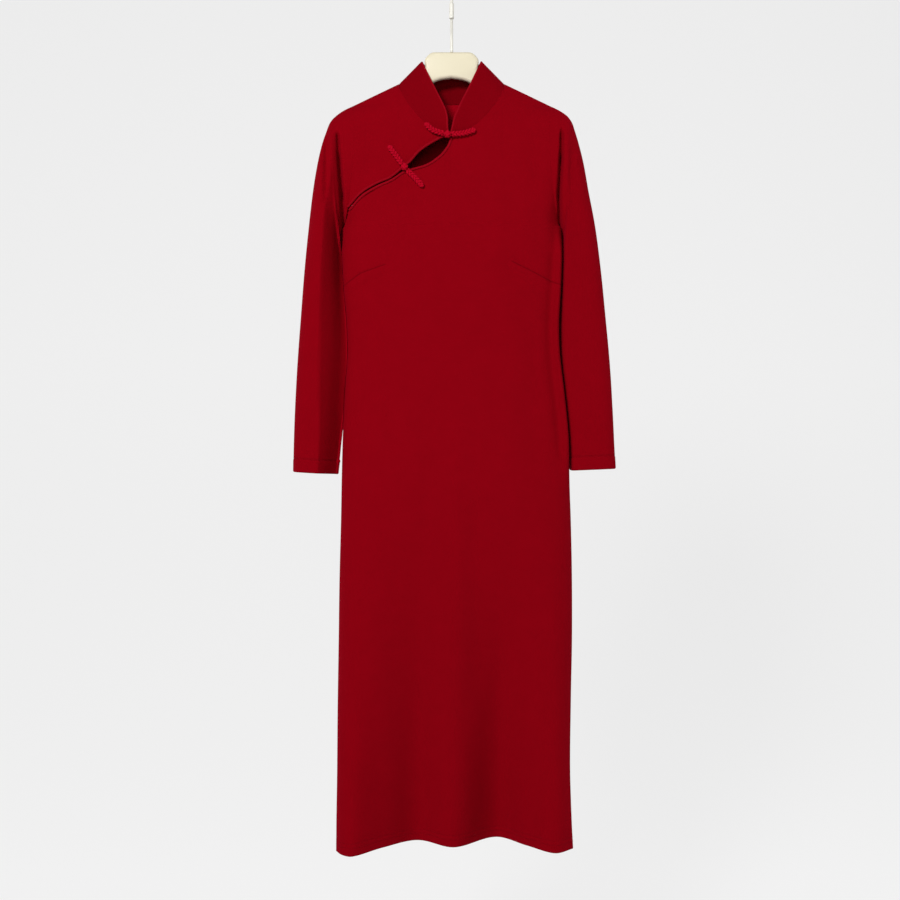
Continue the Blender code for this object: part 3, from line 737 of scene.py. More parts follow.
main_edge = offset_edge(LOWER_EDGE, -BOUND)
MAIN_START_X = main_edge[0].x
MAIN_STOPS = [
    (-0.1672, 9 * COLUMN_STEPS), (-0.0165, COLUMN_STEPS), (-0.0055, COLUMN_STEPS),
    (MAIN_START_X - 0.0006, 1), (MAIN_START_X + 0.0006, 6 * COLUMN_STEPS),
    (NECK_X, 6 * COLUMN_STEPS), (SHOULDER_X, 0),
]


def main_top(x):
    return top_z(FRONT, x) if x > MAIN_START_X else z_on(main_edge, x)


front_points = with_creases(body_rows(FRONT, MAIN_STOPS, main_top), FRONT, FRONT_CREASES)
front_points[..., 1] += FRONT * hem_rise(front_points[..., 2] - HEM_Z, (HEM_STITCH, SECOND_STITCH))
Dart = namedtuple("Dart", "x1 z1 x2 z2 width")
# The bust darts, drawn in the front's wool as lines of painted shade.
DARTS = [
    Dart(-0.1740, -0.4740, -0.1466, -0.4567, 0.0015), Dart(-0.1466, -0.4567, -0.1061, -0.4438, 0.0014),
    Dart(0.1790, -0.4776, 0.0961, -0.4390, 0.0015),
]
front = shell(
    "front_panel", front_points, hold_panel(FRONT), wool("crimson wool knit, darted", lines=DARTS),
    doubled(front_points, HEM_Z, HEM_STITCH), round_rim=("low",))
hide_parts("front")

# The yoke: the wearer's right chest piece above the diagonal opening, sewn to the back at
# the shoulder and to the sleeve at the armhole.
YOKE_TIP_X = -0.0140
yoke_edge = offset_edge(UPPER_EDGE, BOUND)
YOKE_LOW_STOPS = [(-0.1670, 4 * COLUMN_STEPS), (-0.1000, 6 * COLUMN_STEPS), (YOKE_TIP_X, 0)]
YOKE_HIGH_STOPS = [(-SHOULDER_X, 4 * COLUMN_STEPS), (-NECK_X, 6 * COLUMN_STEPS), (YOKE_TIP_X, 0)]
YOKE_CREASES = [Crease(-0.1280, -0.2000, -0.1340, -0.3200, 0.0110, -0.0010)]
yoke_low = [(across(x, z_on(yoke_edge, x)), z_on(yoke_edge, x)) for x in spread(YOKE_LOW_STOPS)]
yoke_high = [(x, top_z(FRONT, x)) for x in spread(YOKE_HIGH_STOPS)]
yoke_points = with_creases(np.array(rows_between(FRONT, yoke_low, yoke_high, 40)), FRONT, YOKE_CREASES)
yoke = shell("yoke_panel", yoke_points, hold_panel(FRONT), WOOL, np.full(yoke_points.shape[:2], WALL))
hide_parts("front_yoke")

# The back: one panel of the knit with no darts, hung over the hanger behind, with the same
# hem and slits.
BACK_STOPS = [
    (-SHOULDER_X, 6 * COLUMN_STEPS), (-NECK_X, 12 * COLUMN_STEPS),
    (NECK_X, 6 * COLUMN_STEPS), (SHOULDER_X, 0),
]
BACK_CREASES = [
    Crease(-0.1270, -0.2300, -0.1360, -0.4200, 0.0120, -0.0014),
    Crease(0.1300, -0.2400, 0.1380, -0.4100, 0.0130, -0.0012),
    Crease(-0.0600, -0.4600, -0.1300, -0.5600, 0.0180, 0.0016),
    Crease(0.0700, -0.4700, 0.1350, -0.5700, 0.0190, 0.0014),
    Crease(-0.0900, -0.6200, -0.0820, -0.9400, 0.0200, 0.0022),
    Crease(0.0380, -0.6000, 0.0460, -1.0200, 0.0190, 0.0024),
    Crease(-0.0180, -0.6900, -0.0200, -1.1000, 0.0180, -0.0022),
    Crease(0.1130, -0.7000, 0.1080, -1.1200, 0.0170, -0.0018),
]
back_points = with_creases(body_rows(BACK, BACK_STOPS, lambda x: top_z(BACK, x)), BACK, BACK_CREASES)
back_points[..., 1] += BACK * hem_rise(back_points[..., 2] - HEM_Z, (HEM_STITCH, SECOND_STITCH))
back = shell(
    "back_panel", back_points, hold_panel(BACK), WOOL, doubled(back_points, HEM_Z, HEM_STITCH),
    flip=True, round_rim=("low",))
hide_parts("back")

# The sleeves: set in at the armhole, folded down beside the body by their own weight, and
# hemmed at the cuff. The wearer's right one has kept a sharp lengthwise ridge in front, and
# falls back from it towards the body.
Ring = namedtuple("Ring", "out_x out_z in_x in_z front outer back bow crease shape")
SLOPE_IN, SLOPE_OUT = -0.88, 0.10
HEAD_RINGS = [
    Ring(0.1640, -0.181, 0.1780, -0.380, 0.030, 0.030, 0.030, 0.012, 0.00, 2.0),
    Ring(0.1720, -0.185, 0.1800, -0.384, 0.031, 0.031, 0.031, 0.008, 0.18, 2.1),
    Ring(0.1800, -0.190, 0.1812, -0.389, 0.032, 0.032, 0.032, 0.004, 0.42, 2.2),
    Ring(0.1885, -0.197, 0.1818, -0.395, 0.034, 0.032, 0.034, 0.000, 0.52, 2.3),
]
RIGHT_ARM_RINGS = [
    Ring(0.1965, -0.206, 0.1818, -0.403, 0.032, 0.034, 0.037, 0.0, 0.34, 2.4),
    Ring(0.2025, -0.219, 0.1812, -0.413, 0.027, 0.037, 0.041, 0.0, 0.16, 2.5),
    Ring(0.2095, -0.243, 0.1806, -0.427, 0.021, 0.040, 0.044, 0.0, 0.06, 2.6),
    Ring(0.2170, -0.277, 0.1800, -0.448, 0.017, 0.041, 0.045, 0.0, 0.00, 2.7),
    Ring(0.2240, -0.320, 0.1790, -0.476, 0.014, 0.041, 0.044, 0.0, 0.00, 2.8),
    Ring(0.2310, -0.378, 0.1770, -0.508, 0.012, 0.040, 0.042, 0.0, 0.00, 2.8),
    Ring(0.2380, -0.446, 0.1745, -0.545, 0.012, 0.038, 0.039, 0.0, 0.00, 2.8),
    Ring(0.2440, -0.520, 0.1735, -0.590, 0.012, 0.036, 0.036, 0.0, 0.00, 2.8),
    Ring(0.2500, -0.600, 0.1760, -0.642, 0.013, 0.034, 0.032, 0.0, 0.00, 2.8),
    Ring(0.2540, -0.672, 0.1790, -0.694, 0.013, 0.032, 0.029, 0.0, 0.00, 2.8),
    Ring(0.2562, -0.732, 0.1830, -0.742, 0.014, 0.030, 0.027, 0.0, 0.00, 2.8),
    Ring(0.2570, -0.774, 0.1870, -0.778, 0.014, 0.028, 0.025, 0.0, 0.00, 2.8),
]
LEFT_ARM_RINGS = [
    Ring(0.1955, -0.207, 0.1818, -0.403, 0.034, 0.031, 0.038, 0.0, 0.36, 2.4),
    Ring(0.1995, -0.219, 0.1814, -0.413, 0.034, 0.031, 0.041, 0.0, 0.20, 2.6),
    Ring(0.2065, -0.243, 0.1808, -0.427, 0.033, 0.032, 0.044, 0.0, 0.08, 2.8),
    Ring(0.2145, -0.277, 0.1805, -0.448, 0.032, 0.033, 0.046, 0.0, 0.00, 3.0),
    Ring(0.2220, -0.320, 0.1798, -0.476, 0.030, 0.034, 0.046, 0.0, 0.00, 3.1),
    Ring(0.2330, -0.378, 0.1785, -0.508, 0.028, 0.034, 0.044, 0.0, 0.00, 3.1),
    Ring(0.2420, -0.446, 0.1775, -0.545, 0.027, 0.033, 0.041, 0.0, 0.00, 3.1),
    Ring(0.2495, -0.520, 0.1785, -0.590, 0.026, 0.032, 0.037, 0.0, 0.00, 3.1),
    Ring(0.2570, -0.600, 0.1840, -0.642, 0.025, 0.030, 0.034, 0.0, 0.00, 3.1),
    Ring(0.2615, -0.672, 0.1895, -0.694, 0.024, 0.028, 0.031, 0.0, 0.00, 3.1),
    Ring(0.2645, -0.732, 0.1928, -0.738, 0.023, 0.026, 0.028, 0.0, 0.00, 3.1),
    Ring(0.2665, -0.769, 0.1945, -0.772, 0.022, 0.024, 0.026, 0.0, 0.00, 3.1),
]
SLEEVE_AROUND = 150
RINGS_BETWEEN = 9
RINGS_AT_CUFF = 40
LAP = 0.010
LAP_END_Z = {-1: -0.735, 1: -0.790}
INNER_SQUARE = 6.0
# The right sleeve's pressed fold: below the armhole its inner face is hollower and its ridge
# higher than the rings say, and the ridge moves in on the way down to the cuff.
FOLD_HOLLOW, FOLD_RIDGE = 1.30, 0.24
FOLD_FOOT, FOLD_SHIFT, FOLD_SHIFT_Z = 0.12, 0.30, -0.46
SLEEVE_CREASES = {
    -1: [
        Crease(-0.1835, -0.2300, -0.1812, -0.2700, 0.0026, -0.0090),
        Crease(-0.1815, -0.2650, -0.1765, -0.3330, 0.0030, -0.0150),
        Crease(-0.1770, -0.3250, -0.1745, -0.3980, 0.0030, -0.0130),
        Crease(-0.2015, -0.2150, -0.2000, -0.3500, 0.0050, -0.0060),
        Crease(-0.1925, -0.2300, -0.1880, -0.3750, 0.0055, 0.0040),
    ],
    1: [
        Crease(0.1775, -0.2250, 0.1758, -0.2750, 0.0026, -0.0100),
        Crease(0.1760, -0.2650, 0.1725, -0.3330, 0.0028, -0.0140),
        Crease(0.1728, -0.3250, 0.1765, -0.3980, 0.0028, -0.0130),
        Crease(0.1850, -0.2250, 0.1830, -0.3700, 0.0060, 0.0030),
    ],
}
CUFF_STITCH = 0.020


def between_rings(rings, per_ring):
    """The ring table read smoothly at more places down the sleeve."""
    Numbered = namedtuple("Numbered", "place " + " ".join(Ring._fields))
    rows = [Numbered(i, *ring) for i, ring in enumerate(rings)]
    cuff = len(rings) - 2
    places = [i / per_ring for i in range(cuff * per_ring)]
    places += [cuff + i / RINGS_AT_CUFF for i in range(RINGS_AT_CUFF + 1)]
    return [Ring(*[read(rows, "place", field, place) for field in Ring._fields]) for place in places]


def sleeve_points(arm, rings):
    """Rings of points down a sleeve, whose inner side laps behind the dress's edge."""
    turns = 2 * np.pi * np.arange(SLEEVE_AROUND) / SLEEVE_AROUND
    cosine, sine = np.cos(turns), np.sin(turns)
    front = sine > 0
    rows = []
    for ring in rings:
        up = np.sign(cosine) * np.abs(cosine) ** (2 / ring.shape)
        square = ring.shape + (INNER_SQUARE - ring.shape) * ease((ring.shape - 2.3) / 0.3) * (up < 0) * front
        out = (1 - np.minimum(np.abs(up), 1.0) ** square) ** (1 / square)
        folded = ease((ring.shape - 2.4) / 0.3) if arm < 0 else 0.0
        inner = ring.front * (1 - FOLD_HOLLOW * folded)
        ridge = ring.outer * (1 + FOLD_RIDGE * folded)
        crease = ring.crease * np.where(front, 0.25, 0.7) * 2 * np.maximum(-cosine, 0.0) * np.abs(sine)
        foot = SLOPE_IN - FOLD_FOOT * folded
        head = SLOPE_OUT - FOLD_SHIFT * folded * ease((FOLD_SHIFT_Z - ring.out_z) / 0.30)
        slope = np.clip((up - foot) / (head - foot), 0.0, 1.0)
        full = np.where(front, inner + (ridge - inner) * slope, ring.back)
        depth = full * out * (1 - crease)
        x = (ring.out_x + ring.in_x) / 2 + (ring.out_x - ring.in_x) / 2 * up
        z = (ring.out_z + ring.in_z) / 2 + (ring.out_z - ring.in_z) / 2 * up
        x = x - ring.bow * np.abs(sine)
        y = np.where(front, -depth, depth)
        lap = ease((ARMPIT_Z + 0.020 - z) / 0.050) * ease((z - LAP_END_Z[arm]) / 0.08)
        lap = lap * np.clip(-up, 0.0, 1.0) ** 3
        x = x - lap * LAP * ease(y / 0.018 + 0.35)
        rows.append(np.stack([arm * x, y, z], axis=1))
    return np.array(rows)


def sleeve(name, node, arm, rings):
    points = sleeve_points(arm, between_rings(rings, RINGS_BETWEEN))
    creased = with_creases(points, FRONT, SLEEVE_CREASES[arm])
    in_front = ease(-points[..., 1] / 0.012)
    points[..., 1] += (creased[..., 1] - points[..., 1]) * in_front
    up_arm = np.linalg.norm(points - points[-1], axis=2)
    out = face_normals(points, True) * (1 if arm > 0 else -1)
    points += out * hem_rise(up_arm, (CUFF_STITCH,))[..., None]

    def hold(every):
        for i in range(len(every)):
            x, y, z = every[i]
            side = abs(edges(z)[0 if arm < 0 else 1])
            if z > ARMPIT_Z:
                every[i, 0] = arm * max(arm * x, side + SEWN / 2)
                continue
            depth = read(SECTIONS, "z", "front" if y < 0 else "back", z)
            clear = SEWN / 2 + 0.0010 * ease((ARMPIT_Z - z) / 0.08)
            every[i, 0] = arm * max(arm * x, side * rounding(y / depth) + clear)

    cuff_z = points[-1, :, 2][None, :]
    wall = doubled(points, cuff_z, CUFF_STITCH)
    piece = shell(name, points, hold, WOOL, wall, ring=True, flip=arm < 0, round_rim=("high",))
    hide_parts(node)
    return piece, points


right_sleeve, right_sleeve_points = sleeve(
    "right_sleeve", "sleeve_wearer_right", -1, HEAD_RINGS + RIGHT_ARM_RINGS)
left_sleeve, left_sleeve_points = sleeve(
    "left_sleeve", "sleeve_wearer_left", 1, HEAD_RINGS + LEFT_ARM_RINGS)

# The collar: a standing band of doubled knit, folded at its upper edge, sewn round the
# neckline and left open in a V at the front.
Top = namedtuple("Top", "base_x x y z")
COLLAR_FRONT_TOP = [
    Top(0.0030, 0.0034, -0.0350, -0.2325), Top(0.0120, 0.0052, -0.0335, -0.2170),
    Top(0.0220, 0.0070, -0.0315, -0.2045), Top(0.0350, 0.0130, -0.0285, -0.1880),
    Top(0.0500, 0.0215, -0.0230, -0.1690), Top(0.0660, 0.0315, -0.0160, -0.1475),
    Top(0.0780, 0.0410, -0.0090, -0.1260), Top(0.0860, 0.0495, -0.0003, -0.1070),
]
COLLAR_BACK_Y, COLLAR_BACK_Z = 0.024, -0.115
COLLAR_SEAM = 0.0002
COLLAR_WALL = 0.0029
COLLAR_ROWS = 22


def collar_column(side, x):
    """The collar's base and top point above one place on the neckline."""
    width = abs(x)
    shift = NECK_CENTRE_X * max(0.0, 1 - width / 0.030) if side == FRONT else 0.0
    z = neck_z(side, x + shift)
    base = Vector(panel_point(side, across(x + shift, z), z) if width < NECK_X else (x, 0.0, NECK_Z))
    if side == FRONT:
        top = Vector([read(COLLAR_FRONT_TOP, "base_x", axis, width) for axis in "xyz"])
        top.x = math.copysign(top.x, x) + shift
        return base, top
    side_top = COLLAR_FRONT_TOP[-1]
    rise = math.sqrt(max(0.0, 1 - (width / NECK_X) ** 2))
    return base, Vector((side_top.x * x / NECK_X, COLLAR_BACK_Y * rise,
                         side_top.z + (COLLAR_BACK_Z - side_top.z) * rise))


def collar_points():
    right = spread([(-0.0030, 6), (-0.0140, 30), (-NECK_X, 0)])
    back = spread([(-NECK_X, 60), (NECK_X, 0)])[1:-1]
    left = spread([(NECK_X, 30), (0.0140, 6), (0.0030, 0)])
    columns = [collar_column(FRONT, x) for x in right]
    columns += [collar_column(BACK, x) for x in back]
    columns += [collar_column(FRONT, x) for x in left]
    rows = []
    for j in range(COLLAR_ROWS + 1):
        row = []
        for base, top in columns:
            foot = base + (top - base).normalized() * COLLAR_SEAM
            row.append(foot + (top - foot) * (j / COLLAR_ROWS))
        rows.append(row)
    return np.array(rows)


collar_grid = collar_points()
collar_wall = np.full(collar_grid.shape[:2], COLLAR_WALL)
# The collar's knit is painted darker than the body's: painted shade.
COLLAR_WOOL_PAINTED_SHADE = wool("crimson wool knit, doubled, painted shade", (0.245, 0.0003, 0.0050, 1.0), (0.198, 0.0002, 0.0038, 1.0))
collar = shell(
    "standing_collar", collar_grid, lambda every: None, COLLAR_WOOL_PAINTED_SHADE, collar_wall, flip=True,
    round_rim=("high", "first", "last"))
# Inside the collar the knit is painted darker still: painted shade.
collar.data.materials[1] = wool(
    "crimson wool knit, inside of the collar, painted shade", (0.200, 0.0003, 0.0042, 1.0), (0.155, 0.0002, 0.0032, 1.0))
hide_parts("collar")

# The opening's rolled edges: each side of the diagonal is finished with a narrow roll of
# the same knit, from the neck to the armhole, coloured lighter as a painted highlight on the raised roll.
ROLL_R = 0.0021


def poly_curve(name, routes, closed=False, radius=0.0, sides=0):
    """A curve in straight steps along one or more routes, as thick as its radius says."""
    curve = bpy.data.curves.new(name, "CURVE")
    curve.dimensions = "3D"
    curve.bevel_depth = radius
    curve.bevel_resolution = sides
    for points in routes:
        line = curve.splines.new("POLY")
        line.points.add(len(points) - 1)
        line.use_cyclic_u = closed
        for place, point in zip(line.points, points):
            place.co = (*point, 1.0)
    return curve


def made_mesh(holder):
    """The plain mesh of a curve, or of what a node tree grows on it. The curve is removed."""
    bpy.context.view_layer.update()
    mesh = bpy.data.meshes.new_from_object(holder.evaluated_get(bpy.context.evaluated_depsgraph_get()))
    bpy.data.objects.remove(holder)
    return mesh


def finished(name, mesh, material, sharp):
    """A piece of one material, smooth but for edges sharper than an angle in degrees."""
    mesh.name = name
    mesh.materials.clear()
    mesh.materials.append(material)
    mesh.polygons.foreach_set("material_index", [0] * len(mesh.polygons))
    mesh.shade_smooth()
    mesh.set_sharp_from_angle(angle=math.radians(sharp))
    piece = placed(name, mesh)
    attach(piece, "root")
    return piece


def curve_to_piece(name, curve, material):
    mesh = made_mesh(placed(name + "_curve", curve))
    joined = bmesh.new()
    joined.from_mesh(mesh)
    bmesh.ops.remove_doubles(joined, verts=joined.verts, dist=1e-6)
    joined.to_mesh(mesh)
    joined.free()
    return finished(name, mesh, material, 50)


def tube(name, points, radius, material, sides=6):
    """A round cord or wire along a smooth route, with closed ends, as a mesh."""
    curve = poly_curve(name, [points], radius=radius, sides=sides)
    curve.use_fill_caps = True
    return curve_to_piece(name, curve, material)


def on_front(x, z, out):
    return Vector((x, front_y(x, z) - out, z))


def rolled_edge(name, node, edge, side):
    route = [on_front(place.x, place.z, SEAM) for place in offset_edge(edge, side * BINDING_R)]
    piece = tube(name, smooth_route(route, 0.003), ROLL_R, ROLL_WOOL_PAINTED_HIGHLIGHT)
    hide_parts(node)
    return piece


def yarn(name, colour, shade, scale):
    """Twisted wool yarn: fine fuzz over a body colour of two close shades."""
    material, work, shader = woolly(name, colour, 0.85, 0.14, 0.4, 0.06)
    fuzz = work.noise(Scale=scale, Detail=4.0)
    work.feed(shader["Base Color"], work.mix(fuzz, shade, colour))
    work.feed(shader["Normal"], work.bump(fuzz, 0.5, 0.0003))
    return material


# Lighter than the body's knit: painted highlight on the raised roll.
ROLL_WOOL_PAINTED_HIGHLIGHT = yarn("rolled knit edge, painted highlight", (0.330, 0.0005, 0.0090, 1.0), (0.235, 0.0003, 0.0050, 1.0), 1100.0)
upper_roll = rolled_edge("upper_rolled_edge", "opening_binding_upper", UPPER_EDGE, 1)
lower_roll = rolled_edge("lower_rolled_edge", "opening_binding_lower", LOWER_EDGE, -1)

# The collar's rolled edge: the same narrow roll of knit runs up one front edge of the collar,
# round its top and down the other.
COLLAR_ROLL_R = 0.0018
collar_middle = collar_grid + face_normals(collar_grid, False) * COLLAR_WALL / 2
collar_rim = [collar_middle[:, 0], collar_middle[-1, 1:-1], collar_middle[::-1, -1]]
collar_roll = tube(
    "collar_rolled_edge", smooth_route(np.concatenate(collar_rim), 0.003), COLLAR_ROLL_R, ROLL_WOOL_PAINTED_HIGHLIGHT, 4)

# The knot buttons: on each, a loop cord and a knot cord of the same wool, plaited flat in
# three strands with their raw ends turned under and sewn down, meet at a hard knotted ball.
CORD_R, KNOT_R = 0.0036, 0.0064
PLAIT_SIZES = {"Width": 0.0029, "Rise": 0.0017, "Strand Radius": 0.00185, "Turn": 0.0165}
KNOT_CORD_R, KNOT_WRAPS, KNOT_BIGHTS = 0.00195, 3, 4
KNOT_STEPS, KNOT_TILT, KNOT_LIFT = 240, 1.12, 0.00035
Spot = namedtuple("Spot", "x z")
FROGS = {
    "neck_frog": {
        "knot": Spot(-0.0066, -0.2372),
        "upper": [Spot(-0.0405, -0.2195), Spot(-0.0300, -0.2290), Spot(-0.0140, -0.2352)],
        "lower": [Spot(0.0352, -0.2290), Spot(0.0190, -0.2344), Spot(0.0008, -0.2365)],
    },
    "chest_frog": {
        "knot": Spot(-0.0750, -0.2895),
        "upper": [Spot(-0.0990, -0.2560), Spot(-0.0897, -0.2690), Spot(-0.0794, -0.2836)],
        "lower": [Spot(-0.0475, -0.3185), Spot(-0.0600, -0.3050), Spot(-0.0704, -0.2952)],
    },
}
CORD_WOOL = yarn("plaited wool cord", (0.530, 0.0006, 0.0180, 1.0), (0.350, 0.0004, 0.0105, 1.0), 1400.0)


def growing_tree(name, sizes):
    """A geometry tree that works on a route, with a named input for each size."""
    return node_tree(
        "GeometryNodeTree", name, {"Geometry": None, **sizes}, ("Geometry",), "NodeSocketGeometry")


def finish_tree(work, geometry, material, out):
    real = work.add("GeometryNodeRealizeInstances", {0: geometry})
    dressed = work.add("GeometryNodeSetMaterial", {0: real.outputs[0]})
    dressed.inputs["Material"].default_value = material
    work.feed(out[0], dressed.outputs[0])
    return work.tree


def plait_tree():
    """Three strands that cross over each other along a route, which faces the front."""
    work, given, out = growing_tree("flat plait", PLAIT_SIZES)
    route = work.add(
        "GeometryNodeResampleCurve", {"Curve": given["Geometry"], "Length": 0.0006}, mode="LENGTH")
    run = work.add("GeometryNodeSplineParameter").outputs["Length"]
    tangent = work.add("GeometryNodeInputTangent").outputs[0]
    aside = work.add("ShaderNodeVectorMath", {0: tangent, 1: (0.0, -1.0, 0.0)}, operation="CROSS_PRODUCT")
    ring = work.add("GeometryNodeCurvePrimitiveCircle", {"Resolution": 8, "Radius": given["Strand Radius"]})
    join = work.add("GeometryNodeJoinGeometry")
    for k in range(3):
        turned = work.math("MULTIPLY", work.math("DIVIDE", run, given["Turn"]), 2 * math.pi)
        angle = work.math("ADD", turned, 2 * math.pi * k / 3)
        width = work.math("MULTIPLY", work.math("SINE", angle), given["Width"])
        swing = work.math("SINE", work.math("MULTIPLY", angle, 2.0))
        across_it = work.add("ShaderNodeVectorMath", {0: aside.outputs[0], "Scale": width}, operation="SCALE")
        over = work.add("ShaderNodeCombineXYZ", {1: work.math("MULTIPLY", swing, given["Rise"])})
        both = work.add(
            "ShaderNodeVectorMath", {0: across_it.outputs[0], 1: over.outputs[0]}, operation="ADD")
        strand = work.add(
            "GeometryNodeSetPosition", {"Geometry": route.outputs[0], "Offset": both.outputs[0]})
        body = work.add("GeometryNodeCurveToMesh", {
            "Curve": strand.outputs[0], "Profile Curve": ring.outputs[0], "Fill Caps": True})
        work.feed(join.inputs[0], body.outputs[0])
    return finish_tree(work, join.outputs[0], CORD_WOOL, out)


def route_object(name, routes, closed=False):
    return placed(name + "_route", poly_curve(name, routes, closed))


def grown(name, holder, tree, sizes):
    """The plain mesh that a node tree makes from a route."""
    modifier = holder.modifiers.new("grow", "NODES")
    modifier.node_group = tree
    for item in tree.interface.items_tree:
        if item.in_out == "INPUT" and item.name in sizes:
            modifier[item.identifier] = sizes[item.name]
    mesh = made_mesh(holder)
    return finished(name, mesh, next(material for material in mesh.materials if material), 60)


PLAIT = plait_tree()


def add_ball(mesh, place, radius, flatness=1.0, segments=16, rings=10):
    """Adds a ball of yarn to a mesh, flattened from front to back where flatness is under one."""
    joined = bmesh.new()
    joined.from_mesh(mesh)
    ball = bmesh.ops.create_uvsphere(joined, u_segments=segments, v_segments=rings, radius=radius)
    bmesh.ops.scale(joined, verts=ball["verts"], vec=(1.0, flatness, 1.0))
    bmesh.ops.translate(joined, verts=ball["verts"], vec=place)
    joined.to_mesh(mesh)
    joined.free()
    mesh.shade_smooth()


def knot_mesh(name, centre):
    """A ball of cord: one strand laid three times round, over and under itself, on a small core."""
    strand = []
    for i in range(KNOT_STEPS):
        t = 2 * math.pi * KNOT_WRAPS * i / KNOT_STEPS
        swing = KNOT_BIGHTS * t / KNOT_WRAPS
        tilt = KNOT_TILT * math.cos(swing)
        r = KNOT_R - KNOT_CORD_R - KNOT_LIFT + KNOT_LIFT * math.sin(2 * swing)
        flat = r * math.cos(tilt)
        strand.append(centre + Vector((flat * math.cos(t), r * math.sin(tilt), flat * math.sin(t))))
    curve = poly_curve(name, [strand], closed=True, radius=KNOT_CORD_R, sides=2)
    piece = curve_to_piece(name, curve, CORD_WOOL)
    add_ball(piece.data, centre, KNOT_R - 0.9 * KNOT_CORD_R)
    return piece


for name, spots in FROGS.items():
    knot = spots["knot"]
    centre = on_front(knot.x, knot.z, KNOT_R + BINDING_R + SEAM)
    ball = knot_mesh(name + "_ball", centre)
    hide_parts(name + "_knot")
    for half, role in (("upper", "loop_cord"), ("lower", "knot_cord")):
        rise = (2 * SEAM, BINDING_R, BINDING_R + 3 * SEAM)
        route = [on_front(spot.x, spot.z, CORD_R + over) for spot, over in zip(spots[half], rise)]
        route[-1] = centre + (route[-1] - centre).normalized() * (KNOT_R + 0.0006)
        route = smooth_route(route, 0.002)
        cord = grown(f"{name}_{role}_plait", route_object(name + role, [route]), PLAIT, PLAIT_SIZES)
        add_ball(cord.data, route[0], CORD_R, 0.62, 14, 8)
        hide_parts(f"{name}_{role}")

# The hem's and the cuffs' stitching: two rows round the skirt and two round each cuff, of
# small flat machine stitches in matching thread that lie in a shallow groove.
STITCH_R = 0.00028
STITCH_SIZES = {"Stitch Length": 0.0024, "Spacing": 0.0032, "Thread Radius": STITCH_R}
CUFF_ROWS = (0.0, 0.0022)
THREAD = yarn("matching thread", (0.250, 0.0004, 0.0065, 1.0), (0.170, 0.0003, 0.0040, 1.0), 2600.0)


def stitch_tree():
    """Small flat stitches, one after another along a row."""
    work, given, out = growing_tree("row of stitches", STITCH_SIZES)
    row = work.add(
        "GeometryNodeResampleCurve", {"Curve": given["Geometry"], "Length": given["Spacing"]}, mode="LENGTH")
    points = work.add("GeometryNodeCurveToPoints", {"Curve": row.outputs[0]}, mode="EVALUATED")
    bead = work.add("GeometryNodeMeshUVSphere", {"Segments": 6, "Rings": 4, "Radius": 1.0})
    size = work.add("ShaderNodeCombineXYZ", {
        0: given["Thread Radius"], 1: given["Thread Radius"],
        2: work.math("DIVIDE", given["Stitch Length"], 2.0)})
    stitches = work.add("GeometryNodeInstanceOnPoints", {
        "Points": points.outputs["Points"], "Instance": bead.outputs["Mesh"],
        "Rotation": points.outputs["Rotation"], "Scale": size.outputs[0]})
    return finish_tree(work, stitches.outputs[0], THREAD, out)


def grid_line(points, row, share, out):
    """A line across a grid of cloth, between two of its rows, just above the cloth."""
    normals = face_normals(points, False)
    line = points[row] + (points[row + 1] - points[row]) * share
    return [Vector(p) for p in line + normals[row] * out]


def row_at(points, height):
    """The row just below a height above the hem, and the share of the way to the next one."""
    z = points[:, 0, 2] - HEM_Z
    row = int(np.searchsorted(z, height)) - 1
    return row, (height - z[row]) / (z[row + 1] - z[row])


def cuff_line(points, distance, arm):
    """A closed line round a sleeve at a distance up from its cuff."""
    far = np.linalg.norm(points - points[-1], axis=2)
    line = []
    for c in range(points.shape[1]):
        row = int(np.nonzero(far[:, c] >= distance)[0].max())
        share = (far[row, c] - distance) / (far[row, c] - far[row + 1, c])
        line.append(points[row, c] + (points[row + 1, c] - points[row, c]) * share)
    normals = face_normals(points, True)[-12] * (1 if arm > 0 else -1)
    return [Vector(p) for p in np.array(line) + normals * STITCH_R * 0.6]


STITCHES = stitch_tree()
hem_lines = []
for points, out in ((front_points, 1.0), (back_points, -1.0)):
    for height in (HEM_STITCH, SECOND_STITCH):
        hem_lines.append(grid_line(points, *row_at(points, height), out * STITCH_R * 0.6))
front_stitches = grown("front_hem_stitches", route_object("front_hem", hem_lines[:2]), STITCHES, STITCH_SIZES)
back_stitches = grown("back_hem_stitches", route_object("back_hem", hem_lines[2:]), STITCHES, STITCH_SIZES)
for name, points, arm in (("right", right_sleeve_points, -1), ("left", left_sleeve_points, 1)):
    lines = [cuff_line(points, CUFF_STITCH + step, arm) for step in CUFF_ROWS]
    route = route_object(name + "_cuff", lines, closed=True)
    grown(name + "_cuff_stitches", route, STITCHES, STITCH_SIZES)

# The hanger: a moulded ivory board with rounded shoulders and a bare front, with painted shade
# where it faces down, and a white coated wire hook that turns in its top and ends in a cap.
BOARD_HALF, BOARD_EDGE_R = 0.0055, 0.0050
BOARD_DROP, BOARD_TOP_Z = 0.0060, -0.092
WIRE_R, HOOK_R = 0.0025, 0.0245
HOOK_START, HOOK_TURN, HOOK_STEPS = -20, 200, 9
TIP_R, TIP_LENGTH, STEM_TOP_Z = 0.0038, 0.024, -0.066
BOARD_NECK = [
    Spot(0.0000, -0.0920), Spot(0.0200, -0.0920), Spot(0.0300, -0.0922), Spot(0.0345, -0.0938),
    Spot(0.0398, -0.0985), Spot(0.0434, -0.1035), Spot(0.0441, -0.1080), Spot(0.0430, -0.1150),
    Spot(0.0435, -0.1240), Spot(0.0530, -0.1385),
    Spot(0.0660, -0.1500), Spot(0.0820, -0.1575),
]
BOARD_ARM_X = (0.0980, 0.1200, 0.1420, 0.1640)
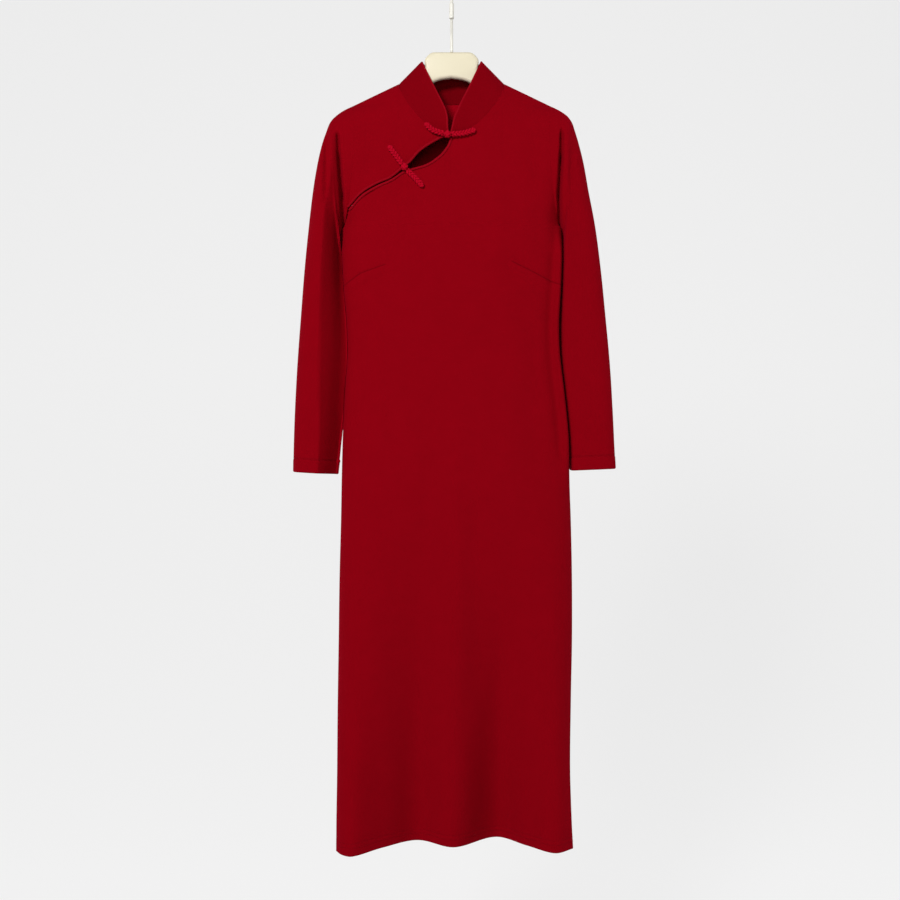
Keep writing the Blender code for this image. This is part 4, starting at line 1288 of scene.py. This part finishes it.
BOARD_END = [
    Spot(0.1750, -0.1930), Spot(0.1840, -0.2010), Spot(0.1862, -0.2075),
    Spot(0.1845, -0.2140), Spot(0.1770, -0.2160), Spot(0.1600, -0.2105),
    Spot(0.1300, -0.1975), Spot(0.1000, -0.1850), Spot(0.0700, -0.1690),
    Spot(0.0420, -0.1490), Spot(0.0220, -0.1385), Spot(0.0000, -0.1345),
]


def moulded(name, colour, shade, roughness):
    """Satin plastic with a faint uneven gloss, and painted shade where it faces down."""
    material = plain_material(name, colour, roughness, Specular_IOR_Level=0.35)
    work = Tree(material.node_tree)
    shader = material.node_tree.nodes["Principled BSDF"].inputs
    cloud = work.noise(Scale=60.0)
    work.feed(shader["Roughness"], work.math("MULTIPLY_ADD", cloud, 0.12, roughness - 0.06))
    facing = work.add("ShaderNodeNewGeometry").outputs["Normal"]
    split = work.add("ShaderNodeSeparateXYZ", {0: facing})
    # Faces turned down take the darker colour: painted shade.
    down = work.math("MAXIMUM", work.math("MULTIPLY", split.outputs[2], -1.0), 0.0)
    work.feed(shader["Base Color"], work.mix(work.math("MULTIPLY", down, 0.9), colour, shade))
    return material


IVORY = moulded("ivory plastic", (0.83, 0.76, 0.56, 1.0), (0.62, 0.52, 0.42, 1.0), 0.42)
WHITE = moulded("white coated wire", (0.86, 0.84, 0.76, 1.0), (0.60, 0.58, 0.52, 1.0), 0.32)


def hanger_board():
    arm = [Spot(x, shoulder_z(x) - BOARD_DROP) for x in BOARD_ARM_X]
    half = smooth_route([(spot.x, 0.0, spot.z) for spot in BOARD_NECK + arm + BOARD_END], 0.0025)
    outline = half + [Vector((-p.x, 0.0, p.z)) for p in half[-2:0:-1]]
    curve = bpy.data.curves.new("board", "CURVE")
    curve.dimensions = "2D"
    curve.fill_mode = "BOTH"
    curve.extrude = BOARD_HALF - BOARD_EDGE_R
    curve.bevel_depth = BOARD_EDGE_R
    curve.bevel_resolution = 5
    curve.offset = -BOARD_EDGE_R
    line = curve.splines.new("POLY")
    line.points.add(len(outline) - 1)
    line.use_cyclic_u = True
    for place, point in zip(line.points, outline):
        place.co = (point.x, point.z, 0.0, 1.0)
    piece = curve_to_piece("ivory_board", curve, IVORY)
    piece.data.transform(Matrix.Rotation(math.pi / 2, 4, "X"))
    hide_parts("hanger_board")
    return piece


hanger_board()
hook_z = WIRE_R - HOOK_R
stem = [(0.0, 0.0, BOARD_TOP_Z + SEAM), (0.0, 0.0, -0.080), (0.0, 0.001, STEM_TOP_Z), (0.0, 0.012, -0.050)]
loop = []
for i in range(HOOK_STEPS + 1):
    turn = math.radians(HOOK_START + HOOK_TURN * i / HOOK_STEPS)
    loop.append((0.0, HOOK_R * math.cos(turn), hook_z + HOOK_R * math.sin(turn)))
wire = tube("hook_wire", smooth_route(stem + loop, 0.0025), WIRE_R, WHITE)
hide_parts("hanger_hook")
cap_points = [(0.0, -HOOK_R, hook_z - 2 * SEAM), (0.0, -HOOK_R, hook_z - TIP_LENGTH)]
cap = tube("hook_cap", smooth_route(cap_points, 0.004), TIP_R, WHITE)
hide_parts("hook_tip")

# The cut: a record for a piece of the knit, of its flat width, length and area, and what is
# sewn on it. Every piece hangs from the hanger's arms through the shoulder seams.
Cut = namedtuple("Cut", "piece width length area sewn")
